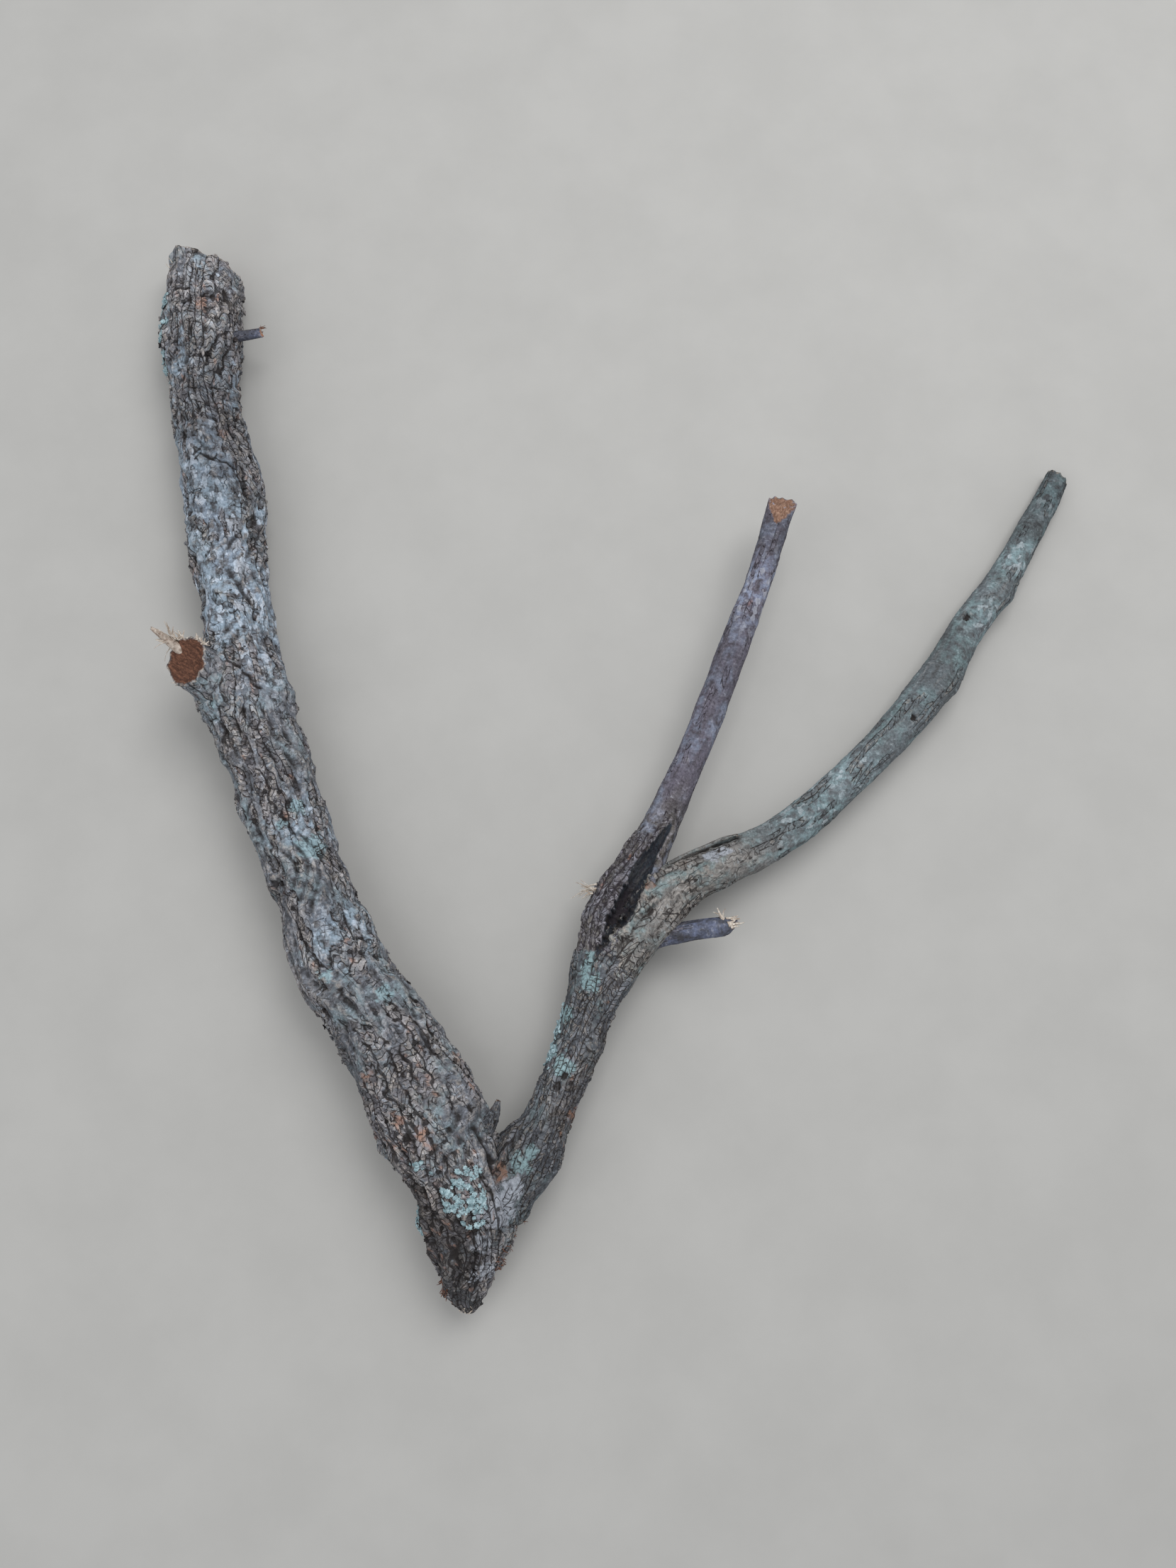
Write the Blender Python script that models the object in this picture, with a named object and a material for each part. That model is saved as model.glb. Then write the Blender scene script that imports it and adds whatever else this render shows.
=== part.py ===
"""A fallen tree branch, lying on a level surface as it comes to rest.

A thick limb with a torn butt runs towards +Y. A side limb leaves it at the butt towards +X and forks
into a straight shoot and a curved shoot. Sizes are in millimetres and become metres in each mesh.
The branch rests on three places: the butt, the thick limb's broken top and the curved shoot's tip.
"""

import math
from dataclasses import dataclass

import bmesh
import bpy
from mathutils import Vector, noise

MM = 0.001
GROUND = 0.0
FORK_GAP = 0.35

# Routes: each station is x, y, z, half width and half height of the limb there.
THICK_LIMB = (
    (-61.0, -158.0, 19.0, 3.0, 2.5),
    (-62.0, -151.0, 21.0, 9.5, 6.0),
    (-62.0, -142.0, 23.0, 13.5, 10.0),
    (-61.5, -130.0, 25.0, 18.5, 15.5),
    (-60.5, -116.0, 26.0, 23.5, 21.0),
    (-62.0, -101.0, 26.5, 24.5, 25.0),
    (-69.0, -84.0, 26.5, 25.5, 27.0),
    (-79.0, -66.0, 26.5, 27.5, 27.5),
    (-88.0, -50.0, 26.5, 28.0, 27.0),
    (-98.0, -33.0, 27.0, 26.0, 25.5),
    (-109.0, -14.5, 27.5, 24.6, 24.5),
    (-122.0, 4.0, 28.0, 23.2, 23.5),
    (-132.5, 20.0, 28.5, 23.6, 23.0),
    (-140.0, 37.5, 28.5, 21.4, 22.0),
    (-147.0, 56.5, 28.5, 20.0, 21.0),
    (-157.0, 79.5, 28.5, 20.4, 20.5),
    (-166.0, 103.0, 28.0, 21.2, 21.0),
    (-175.0, 127.0, 27.5, 22.0, 21.5),
    (-183.0, 147.0, 27.5, 22.6, 22.5),
    (-189.0, 167.0, 27.0, 22.4, 22.5),
    (-192.0, 185.0, 26.5, 20.5, 21.0),
    (-195.0, 205.0, 26.0, 18.4, 20.0),
    (-200.5, 231.0, 25.5, 19.4, 20.0),
    (-205.0, 256.5, 25.0, 21.2, 20.5),
    (-209.0, 284.0, 24.5, 22.0, 21.0),
    (-214.0, 306.0, 24.0, 21.4, 21.0),
    (-219.0, 324.0, 23.5, 19.8, 20.5),
    (-224.0, 349.0, 22.5, 19.3, 20.0),
    (-226.5, 373.0, 22.0, 21.8, 20.5),
    (-227.5, 396.0, 20.5, 22.4, 21.0),
    (-228.5, 416.0, 19.0, 21.8, 20.5),
    (-228.0, 431.0, 18.2, 20.6, 20.0),
)
SIDE_LIMB = (
    (-49.0, -117.0, 26.0, 12.0, 11.0),
    (-43.0, -100.0, 27.0, 15.2, 16.0),
    (-34.5, -84.0, 27.5, 17.0, 18.0),
    (-26.5, -71.0, 27.5, 15.2, 16.0),
    (-21.5, -61.5, 27.5, 12.6, 13.0),
    (-17.0, -51.0, 27.5, 12.0, 12.2),
    (-9.0, -33.0, 27.5, 12.4, 12.4),
    (-3.5, -18.5, 27.0, 12.8, 12.8),
    (1.0, -3.5, 26.5, 13.2, 13.2),
    (6.0, 11.5, 26.5, 15.0, 14.4),
    (11.0, 24.0, 26.5, 17.5, 15.0),
    (16.0, 36.0, 26.5, 19.0, 15.5),
)
STRAIGHT_SHOOT = (
    (3.5, 5.0, 26.5, 12.6, 12.6),
    (5.5, 18.0, 26.5, 12.8, 13.0),
    (8.0, 31.0, 27.0, 13.0, 13.2),
    (11.5, 43.5, 28.0, 13.2, 13.0),
    (17.0, 56.0, 29.0, 12.7, 12.5),
    (25.0, 69.0, 29.5, 11.8, 12.0),
    (34.0, 82.5, 30.0, 11.0, 11.0),
    (41.0, 96.0, 30.5, 9.8, 10.0),
    (49.0, 114.0, 31.5, 8.9, 9.2),
    (57.5, 133.5, 32.5, 8.2, 8.4),
    (67.5, 157.0, 33.5, 8.3, 8.3),
    (80.0, 191.0, 35.5, 8.2, 8.2),
    (88.0, 211.0, 36.5, 7.5, 7.8),
    (97.0, 235.5, 38.0, 7.2, 7.4),
    (105.0, 262.0, 39.5, 7.4, 7.2),
    (109.0, 274.5, 40.0, 8.2, 7.2),
)
CURVED_SHOOT = (
    (7.0, 2.0, 26.0, 12.4, 12.6),
    (12.5, 14.0, 26.0, 12.8, 13.0),
    (20.5, 28.0, 26.0, 14.2, 13.8),
    (31.5, 42.0, 25.5, 14.8, 14.2),
    (42.0, 54.5, 25.0, 14.4, 14.0),
    (53.5, 63.0, 24.5, 13.0, 13.0),
    (66.0, 69.5, 24.0, 12.2, 12.2),
    (81.5, 76.5, 23.0, 11.8, 11.6),
    (97.0, 83.5, 22.5, 10.8, 11.0),
    (113.0, 94.0, 21.5, 10.7, 10.7),
    (129.5, 107.0, 20.5, 10.4, 10.5),
    (146.0, 122.5, 19.5, 10.1, 10.2),
    (162.5, 138.0, 18.5, 10.4, 10.2),
    (181.5, 158.5, 17.0, 11.2, 10.4),
    (199.0, 180.0, 15.5, 11.3, 10.4),
    (213.0, 203.0, 14.0, 10.0, 10.0),
    (225.5, 220.5, 12.8, 9.7, 9.6),
    (234.5, 231.5, 12.0, 9.4, 9.2),
    (246.0, 249.0, 10.6, 8.5, 8.6),
    (257.5, 269.0, 9.0, 8.0, 8.2),
    (271.0, 291.5, 6.6, 7.4, 7.6),
    (277.0, 303.0, 5.6, 6.6, 6.8),
)
SNAPPED_STUB = (
    (-184.0, 161.0, 26.0, 16.0, 15.5),
    (-193.0, 165.5, 33.0, 16.0, 15.0),
    (-201.5, 170.0, 40.5, 14.2, 13.6),
    (-209.0, 174.5, 47.5, 13.2, 12.8),
    (-215.0, 178.5, 53.5, 12.8, 12.4),
)
SIDE_TWIG = (
    (22.0, 30.0, 25.5, 6.6, 6.6),
    (34.0, 32.5, 26.5, 6.4, 6.4),
    (44.0, 34.5, 27.0, 5.6, 5.6),
    (59.0, 37.0, 28.0, 5.4, 5.4),
    (72.0, 38.5, 29.0, 5.2, 5.2),
    (76.0, 39.5, 29.3, 3.4, 3.4),
    (80.0, 41.0, 29.6, 1.0, 1.0),
)
TINY_TWIG = (
    (-222.0, 381.0, 25.0, 4.0, 4.0),
    (-208.0, 382.5, 26.5, 3.4, 3.4),
    (-200.0, 383.0, 27.5, 3.0, 3.0),
    (-191.0, 384.0, 28.5, 2.7, 2.7),
)
BARK_SPUR = (
    (-56.0, -70.0, 34.0, 7.0, 5.0),
    (-50.0, -61.5, 38.0, 4.4, 3.2),
    (-46.0, -51.0, 41.0, 1.2, 0.9),
)
STUB_SPLINTER = (
    (-212.0, 181.0, 43.0, 5.0, 4.0),
    (-223.0, 188.5, 48.5, 3.2, 2.4),
    (-235.0, 197.0, 53.0, 0.9, 0.7),
)
TOP_SPLINTER = (
    (-241.0, 410.0, 24.0, 4.0, 3.4),
    (-240.5, 426.0, 26.0, 3.0, 2.4),
    (-240.0, 438.0, 27.0, 0.9, 0.8),
)
ROTTEN_SPLIT = (
    (3.0, 20.0, 44.0, 1.6, 3.0),
    (8.0, 29.5, 43.0, 3.0, 8.0),
    (13.5, 39.0, 43.0, 5.0, 13.0),
    (19.5, 49.0, 43.0, 6.2, 15.0),
    (25.0, 59.5, 43.0, 6.2, 12.0),
    (30.0, 69.5, 43.0, 5.2, 9.5),
    (34.5, 78.0, 42.5, 3.2, 8.0),
    (40.5, 86.5, 42.0, 2.2, 6.0),
    (45.0, 93.0, 42.0, 1.4, 3.5),
)

# Lumps: the centre x, y, z, how far it reaches and how much it rises, or sinks below zero.
THICK_LUMPS = (
    ((-106.0, -42.0, 50.0), 13.0, 2.2),
    ((-66.0, -38.0, 44.0), 12.0, 2.6),
    ((-58.0, -52.0, 42.0), 9.0, 2.4),
    ((-84.0, -78.0, 52.0), 16.0, 1.8),
    ((-104.0, -74.0, 30.0), 14.0, 2.0),
    ((-72.0, -104.0, 48.0), 13.0, 2.4),
    ((-50.0, -122.0, 40.0), 11.0, -2.2),
    ((-84.0, -112.0, 30.0), 11.0, 1.8),
    ((-64.0, -132.0, 38.0), 8.0, 1.4),
    ((-155.0, 28.0, 30.0), 10.0, 3.4),
    ((-138.0, 8.0, 46.0), 12.0, 1.6),
    ((-120.0, 38.0, 34.0), 11.0, 1.6),
    ((-146.0, 62.0, 47.0), 13.0, 1.4),
    ((-180.0, 94.0, 32.0), 12.0, 1.6),
    ((-160.0, 120.0, 44.0), 12.0, 1.5),
    ((-208.0, 158.0, 30.0), 13.0, 3.6),
    ((-186.0, 160.0, 49.0), 16.0, 2.4),
    ((-172.0, 176.0, 36.0), 12.0, 1.8),
    ((-190.0, 205.0, 45.0), 11.0, -1.8),
    ((-219.0, 246.0, 30.0), 13.0, 1.4),
    ((-190.0, 268.0, 38.0), 13.0, 1.6),
    ((-214.0, 296.0, 45.0), 14.0, 1.4),
    ((-232.0, 318.0, 30.0), 12.0, -1.4),
    ((-206.0, 384.0, 34.0), 10.0, 2.0),
    ((-244.0, 384.0, 30.0), 12.0, 1.8),
    ((-226.0, 402.0, 41.0), 13.0, -1.6),
)
SIDE_LUMPS = (
    ((-44.0, -92.0, 40.0), 9.0, 1.8),
    ((-22.0, -80.0, 36.0), 9.0, 1.6),
    ((-20.0, -52.0, 38.0), 7.0, -1.0),
    ((0.0, -26.0, 37.0), 8.0, 1.2),
    ((-6.0, 4.0, 36.0), 8.0, 1.4),
    ((18.0, 8.0, 34.0), 9.0, 1.6),
)
STRAIGHT_LUMPS = (
    ((6.0, 46.0, 38.0), 9.0, 2.6),
    ((12.0, 64.0, 40.0), 8.0, 2.4),
    ((26.0, 84.0, 38.0), 8.0, 1.6),
    ((62.0, 132.0, 38.0), 6.0, 0.9),
    ((60.0, 158.0, 38.0), 6.0, 0.8),
    ((86.0, 188.0, 42.0), 6.0, 0.9),
    ((82.0, 212.0, 42.0), 6.0, 0.8),
)
CURVED_LUMPS = (
    ((38.0, 66.0, 34.0), 9.0, 1.8),
    ((46.0, 44.0, 34.0), 10.0, 1.6),
    ((70.0, 76.0, 34.0), 8.0, 1.2),
    ((118.0, 88.0, 28.0), 7.0, 1.2),
    ((182.0, 160.0, 28.0), 7.0, 1.6),
    ((206.0, 172.0, 20.0), 7.0, 1.8),
    ((216.0, 216.0, 20.0), 7.0, 1.4),
    ((240.0, 228.0, 14.0), 6.0, 1.8),
)

FORK_CUT_AT = (8.5, 16.0, 26.0)
FORK_CUT_ALONG = (0.36, 0.93, 0.0)
TORN_FACE_AT = (-61.0, -104.0, 0.6)
TORN_FACE_OUTWARD = (0.05, -0.30, -0.95)


@dataclass(frozen=True)
class Bark:
    """How coarse the bark of a limb is."""

    ridge_height: float
    ridge_width: float
    ridge_length: float
    furrows: int = 0


@dataclass(frozen=True)
class BrokenEnd:
    """How a limb ends: how ragged, how oblique and how deep the middle of the break lies."""

    ragged: float = 0.0
    slope: float = 0.0
    slope_towards: float = 0.0
    hollow: float = 0.0


ROUGH_BARK = Bark(ridge_height=1.8, ridge_width=8.5, ridge_length=18.0, furrows=8)
SIDE_BARK = Bark(ridge_height=1.0, ridge_width=6.5, ridge_length=15.0, furrows=5)
THIN_BARK = Bark(ridge_height=0.45, ridge_width=6.0, ridge_length=16.0)
# A broken end's raggedness fades into the limb over this length.
END_BLEND = 24.0
# Bark relief fades out on limbs thinner than this radius.
FULL_RELIEF_RADIUS = 10.0
# A route's curve is worked out at this many places between two stations.
ROUTE_STEPS = 12
# The inner ring of a closed end lies this share of the way to its middle.
CAP_INSET = 0.45
SHARP_EDGE = math.radians(50)
RIDGE_SPACING = 7.1
THIN_SPACING = 7.0


def clear_scene():
    """Remove the objects that the file opened with."""
    for obj in list(bpy.data.objects):
        bpy.data.objects.remove(obj, do_unlink=True)


def bark_material(name, red, green, blue, roughness):
    """Make a Principled material from an sRGB colour."""
    material = bpy.data.materials.new(name)
    material.use_nodes = True
    shader = material.node_tree.nodes["Principled BSDF"]
    linear = [((c / 255 + 0.055) / 1.055) ** 2.4 for c in (red, green, blue)]
    shader.inputs["Base Color"].default_value = (*linear, 1.0)
    shader.inputs["Roughness"].default_value = roughness
    shader.inputs["Metallic"].default_value = 0.0
    material.diffuse_color = (*linear, 1.0)
    return material


def smooth_step(before, start, end, after, t):
    """Catmull-Rom value between start and end."""
    return 0.5 * (
        2 * start
        + (end - before) * t
        + (2 * before - 5 * start + 4 * end - after) * t * t
        + (3 * start - before - 3 * end + after) * t**3
    )


def smooth_route(stations, spacing):
    """Stations along a smooth curve through the given ones, about one spacing apart."""
    last = len(stations) - 1
    fine = []
    for i in range(last):
        around = [stations[min(max(k, 0), last)] for k in (i - 1, i, i + 1, i + 2)]
        for step in range(ROUTE_STEPS):
            fine.append([smooth_step(*values, step / ROUTE_STEPS) for values in zip(*around)])
    fine.append(list(stations[-1]))
    travelled = [0.0]
    for a, b in zip(fine, fine[1:]):
        travelled.append(travelled[-1] + math.dist(a[:3], b[:3]))
    count = max(2, round(travelled[-1] / spacing))
    route = []
    k = 0
    for i in range(count + 1):
        goal = travelled[-1] * i / count
        while k < len(fine) - 2 and travelled[k + 1] < goal:
            k += 1
        t = (goal - travelled[k]) / (travelled[k + 1] - travelled[k])
        route.append((goal, [a + (b - a) * t for a, b in zip(fine[k], fine[k + 1])]))
    return route


def bark_relief(bark, distance, angle, radius):
    """Height of the bark's ridges and lumps at a place on a limb."""
    across = Vector((math.cos(angle), math.sin(angle), 0.0)) * (radius / bark.ridge_width)
    across.z = distance / bark.ridge_length
    coarse = noise.noise(across * 0.9)
    fine = noise.noise(across * 1.7 + Vector((7.3, 2.1, 5.7)))
    wander = 2.5 * noise.noise(Vector((0.4 * math.cos(angle), 0.4 * math.sin(angle), across.z * 0.5)))
    furrow = 0.35 * math.cos(bark.furrows * (angle + wander)) if bark.furrows else 0.0
    return bark.ridge_height * (1.1 * coarse + 0.8 * fine + furrow)


def lump_rise(lumps, point):
    """How far the lumps push a point of the surface outwards."""
    rise = 0.0
    for centre, reach, height in lumps:
        apart = (point - Vector(centre)).length / reach
        rise += height * math.exp(-apart * apart)
    return rise


def end_shift(end, angle, seed):
    """How far a broken end stands out along the limb on one side of it."""
    around = Vector((math.cos(angle) * 1.6, math.sin(angle) * 1.6, seed))
    rag = end.ragged * noise.noise(around * 1.3)
    return rag + end.slope * math.cos(angle - end.slope_towards)


def limb_mesh(name, stations, sides, spacing, bark, lumps=(), tip=BrokenEnd(), root=BrokenEnd()):
    """Build one closed limb as rings along its route, capped at both ends."""
    route = smooth_route(stations, spacing)
    length = route[-1][0]
    shape = bmesh.new()
    rings = []
    for i, (distance, (x, y, z, half_width, half_height)) in enumerate(route):
        here = Vector((x, y, z))
        before = Vector(route[max(i - 1, 0)][1][:3])
        after = Vector(route[min(i + 1, len(route) - 1)][1][:3])
        along = (after - before).normalized()
        right = along.cross(Vector((0.0, 0.0, 1.0))).normalized()
        over = right.cross(along)
        near_tip = max(0.0, 1 - (length - distance) / END_BLEND)
        near_root = max(0.0, 1 - distance / END_BLEND)
        ring = []
        for k in range(sides):
            angle = 2 * math.pi * k / sides
            out = right * math.cos(angle) * half_width + over * math.sin(angle) * half_height
            radius = out.length
            point = here + out
            rise = bark_relief(bark, distance, angle, radius)
            rise *= min(1.0, radius / FULL_RELIEF_RADIUS)
            rise += lump_rise(lumps, point)
            point += out * (rise / radius)
            point += along * near_tip * end_shift(tip, angle, 3.1)
            point -= along * near_root * end_shift(root, angle, 8.4)
            point.z = max(point.z, GROUND)
            ring.append(shape.verts.new(point * MM))
        rings.append(ring)
    for ring, following in zip(rings, rings[1:]):
        for k in range(sides):
            after_k = (k + 1) % sides
            shape.faces.new((ring[k], ring[after_k], following[after_k], following[k]))
    close_end(shape, rings[0], rings[1], root.hollow, outward=False)
    close_end(shape, rings[-1], rings[-2], tip.hollow, outward=True)
    mesh = bpy.data.meshes.new(name)
    bmesh.ops.recalc_face_normals(shape, faces=shape.faces)
    shape.to_mesh(mesh)
    shape.free()
    return mesh


def close_end(shape, ring, inner_ring, hollow, outward):
    """Close a ring with a smaller ring and a middle point, sunk by the depth of the hollow."""
    centre = sum((vert.co for vert in ring), Vector()) / len(ring)
    inside = sum((vert.co for vert in inner_ring), Vector()) / len(inner_ring)
    inward = (inside - centre).normalized()
    inner = []
    for k, vert in enumerate(ring):
        rough = 0.5 + 0.5 * noise.noise(Vector((k * 0.9, hollow, 1.7)))
        sunk = inward * hollow * rough * MM
        inner.append(shape.verts.new(vert.co.lerp(centre, CAP_INSET) + sunk))
    middle = shape.verts.new(centre + inward * hollow * MM)
    count = len(ring)
    for k in range(count):
        after_k = (k + 1) % count
        quad = (ring[k], ring[after_k], inner[after_k], inner[k])
        fan = (inner[k], inner[after_k], middle)
        if not outward:
            quad = quad[::-1]
            fan = fan[::-1]
        shape.faces.new(quad)
        shape.faces.new(fan)


def cut_off(mesh, at, outward):
    """Cut a closed mesh along a plane, take off the outward side and close the cut."""
    shape = bmesh.new()
    shape.from_mesh(mesh)
    geometry = list(shape.verts) + list(shape.edges) + list(shape.faces)
    bmesh.ops.bisect_plane(
        shape,
        geom=geometry,
        dist=1e-7,
        plane_co=Vector(at) * MM,
        plane_no=Vector(outward).normalized(),
        clear_outer=True,
    )
    rim = [edge for edge in shape.edges if edge.is_boundary]
    bmesh.ops.edgeloop_fill(shape, edges=rim)
    bmesh.ops.triangulate(shape, faces=shape.faces)
    bmesh.ops.recalc_face_normals(shape, faces=shape.faces)
    shape.to_mesh(mesh)
    shape.free()


def add_object(name, mesh, material=None):
    """Put a mesh in the scene as an object with smooth shading."""
    obj = bpy.data.objects.new(name, mesh)
    bpy.context.scene.collection.objects.link(obj)
    mesh.shade_smooth()
    mesh.set_sharp_from_angle(angle=SHARP_EDGE)
    if material:
        mesh.materials.append(material)
    return obj


def helper(obj):
    """Hide an object that only shapes another one."""
    obj.hide_render = True
    obj.display_type = "WIRE"
    return obj


def grown(obj, by):
    """A helper copy of an object whose surface stands out by a few tenths of a millimetre."""
    mesh = bpy.data.meshes.new_from_object(obj.evaluated_get(bpy.context.evaluated_depsgraph_get()))
    shape = bmesh.new()
    shape.from_mesh(mesh)
    bmesh.ops.triangulate(shape, faces=shape.faces)
    shape.normal_update()
    moved = [vert.co + vert.normal * by * MM for vert in shape.verts]
    for vert, place in zip(shape.verts, moved):
        vert.co = place
    shape.to_mesh(mesh)
    shape.free()
    mesh.materials.clear()
    return helper(add_object(obj.name + "_grown", mesh))


def combine(obj, operation, other):
    """Join another shape to an object, or take it away, with an exact Boolean."""
    boolean = obj.modifiers.new(operation.lower() + "_" + other.name, "BOOLEAN")
    boolean.operation = operation
    boolean.object = other
    boolean.solver = "EXACT"
    return obj


def small_piece(name, stations, sides, spacing, tip=BrokenEnd()):
    """A helper limb that is joined to a larger one."""
    return helper(add_object(name, limb_mesh(name, stations, sides, spacing, THIN_BARK, tip=tip)))


def build_thick_limb():
    """The thick limb with its torn butt, snapped stub, tiny twig and broken top."""
    material = bark_material("thick_limb_bark", 108, 108, 113, 0.92)
    top_break = BrokenEnd(ragged=4.5, slope=6.0, slope_towards=math.pi, hollow=3.0)
    mesh = limb_mesh(
        "thick_limb", THICK_LIMB, 26, RIDGE_SPACING, ROUGH_BARK, THICK_LUMPS, tip=top_break
    )
    cut_off(mesh, TORN_FACE_AT, TORN_FACE_OUTWARD)
    limb = add_object("thick_limb", mesh, material)
    stub_break = BrokenEnd(ragged=4.0, slope=6.5, slope_towards=math.radians(-65), hollow=2.0)
    combine(limb, "UNION", small_piece("stub", SNAPPED_STUB, 16, 6.5, stub_break))
    combine(limb, "UNION", small_piece("stub_splinter", STUB_SPLINTER, 6, 9.0))
    combine(limb, "UNION", small_piece("top_splinter", TOP_SPLINTER, 6, 9.0))
    combine(limb, "UNION", small_piece("tiny_twig", TINY_TWIG, 8, 6.0, BrokenEnd(ragged=1.5)))
    combine(limb, "UNION", small_piece("bark_spur", BARK_SPUR, 6, 7.0))
    return limb


def build_side_limb(thick_limb):
    """The side limb, from the crease beside the butt to the cut at the upper fork."""
    material = bark_material("side_limb_bark", 87, 91, 95, 0.9)
    mesh = limb_mesh("side_limb", SIDE_LIMB, 18, THIN_SPACING, SIDE_BARK, SIDE_LUMPS)
    cut_off(mesh, FORK_CUT_AT, FORK_CUT_ALONG)
    limb = add_object("side_limb", mesh, material)
    return combine(limb, "DIFFERENCE", grown(thick_limb, FORK_GAP))


def fork_side(mesh):
    """Trim a shoot where it meets the side limb, a gap above the side limb's cut."""
    along = Vector(FORK_CUT_ALONG).normalized()
    cut_off(mesh, Vector(FORK_CUT_AT) + along * FORK_GAP, -along)


def build_curved_shoot(split):
    """The curved shoot with its broken side twig."""
    material = bark_material("curved_shoot_bark", 96, 93, 92, 0.88)
    tip_break = BrokenEnd(ragged=2.0, slope=1.5, slope_towards=math.pi, hollow=1.0)
    mesh = limb_mesh(
        "curved_shoot", CURVED_SHOOT, 16, THIN_SPACING, THIN_BARK, CURVED_LUMPS, tip=tip_break
    )
    fork_side(mesh)
    shoot = add_object("curved_shoot", mesh, material)
    combine(shoot, "UNION", small_piece("side_twig", SIDE_TWIG, 10, 6.0))
    return combine(shoot, "DIFFERENCE", split)


def build_straight_shoot(curved_shoot, split):
    """The straight shoot, coped to the curved one, with the rotten split in its base."""
    material = bark_material("straight_shoot_bark", 106, 101, 110, 0.88)
    tip_break = BrokenEnd(ragged=2.0, slope=5.0, slope_towards=math.radians(-80), hollow=1.5)
    mesh = limb_mesh(
        "straight_shoot", STRAIGHT_SHOOT, 14, THIN_SPACING, THIN_BARK, STRAIGHT_LUMPS, tip=tip_break
    )
    fork_side(mesh)
    shoot = add_object("straight_shoot", mesh, material)
    combine(shoot, "DIFFERENCE", split)
    return combine(shoot, "DIFFERENCE", grown(curved_shoot, FORK_GAP))


def centre_on_origin(nodes):
    """Move everything sideways so that the origin is under the middle of the branch."""
    bpy.context.view_layer.update()
    graph = bpy.context.evaluated_depsgraph_get()
    points = []
    for node in nodes:
        evaluated = node.evaluated_get(graph)
        points += [evaluated.matrix_world @ vert.co for vert in evaluated.data.vertices]
    low = [min(point[axis] for point in points) for axis in range(2)]
    high = [max(point[axis] for point in points) for axis in range(2)]
    shift = Vector((-(low[0] + high[0]) / 2, -(low[1] + high[1]) / 2, 0.0))
    for obj in bpy.data.objects:
        obj.location = shift


def main():
    """Build the branch."""
    clear_scene()
    split = small_piece("rotten_split", ROTTEN_SPLIT, 12, 7.0)
    thick_limb = build_thick_limb()
    side_limb = build_side_limb(thick_limb)
    curved_shoot = build_curved_shoot(split)
    straight_shoot = build_straight_shoot(curved_shoot, split)
    centre_on_origin((thick_limb, side_limb, curved_shoot, straight_shoot))


main()
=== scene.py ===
"""A fallen tree branch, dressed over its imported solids.

Bark, lichen, broken wood and torn fibres are laid over the routes of the four solids. Sizes are in
millimetres until a mesh is made, and the routes are those of the part's source.
"""

import itertools
import logging
import math
from collections.abc import Iterable
from dataclasses import dataclass, field, replace
from enum import Enum
from typing import Any

import bpy
import numpy as np
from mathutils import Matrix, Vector, noise


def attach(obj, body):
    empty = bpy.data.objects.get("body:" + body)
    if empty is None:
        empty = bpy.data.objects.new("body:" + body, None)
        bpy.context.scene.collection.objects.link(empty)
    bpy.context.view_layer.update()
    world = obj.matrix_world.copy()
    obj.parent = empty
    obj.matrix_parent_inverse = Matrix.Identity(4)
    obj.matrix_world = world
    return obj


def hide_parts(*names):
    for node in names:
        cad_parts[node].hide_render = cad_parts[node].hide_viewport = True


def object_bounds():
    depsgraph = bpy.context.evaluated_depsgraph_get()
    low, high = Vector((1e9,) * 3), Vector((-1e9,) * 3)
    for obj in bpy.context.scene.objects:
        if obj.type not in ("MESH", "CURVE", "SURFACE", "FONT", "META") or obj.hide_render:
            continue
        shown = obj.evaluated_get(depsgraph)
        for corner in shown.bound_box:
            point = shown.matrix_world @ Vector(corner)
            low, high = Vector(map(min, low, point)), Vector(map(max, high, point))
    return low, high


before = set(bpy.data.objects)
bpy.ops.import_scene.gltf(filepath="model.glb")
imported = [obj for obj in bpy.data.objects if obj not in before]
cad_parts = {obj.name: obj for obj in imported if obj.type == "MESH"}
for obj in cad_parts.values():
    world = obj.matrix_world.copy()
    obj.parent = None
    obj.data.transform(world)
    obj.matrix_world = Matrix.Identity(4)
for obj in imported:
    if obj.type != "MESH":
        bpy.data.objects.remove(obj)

LOG = logging.getLogger("branch")
CAD_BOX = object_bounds()

Array = np.ndarray
Point = tuple[float, float, float]
Station = tuple[float, float, float, float, float]
Lump = tuple[Point, float, float]
Spot = tuple[float, float, float, float]
Masks = dict[str, Array]
Groove = tuple[tuple[tuple[float, float], ...], float, float]

MM = 0.001
TAU = 2 * math.pi
# How far the routes are moved sideways, so that the origin lies under the middle of the branch.
LAID = np.array((-15.5422, -139.8752, 0.0))
# Over this length a broken end's raggedness fades into the limb, as in the solids.
END_BLEND = 24.0
# Where in the noise a broken end's ragged line is taken, as in the solids.
END_SLICE = 3.1
# How far, in metres, the pieces stay inside the solids' box.
INSIDE = 0.0001
# A distance greater than any that is looked for.
FAR = 99.0
# The size of the bites in a ragged patch's edge.
PATCH_EDGE = 3.2
# Over this length the torn rim of the bark runs out.
RIM_WIDTH = 1.4

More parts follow.
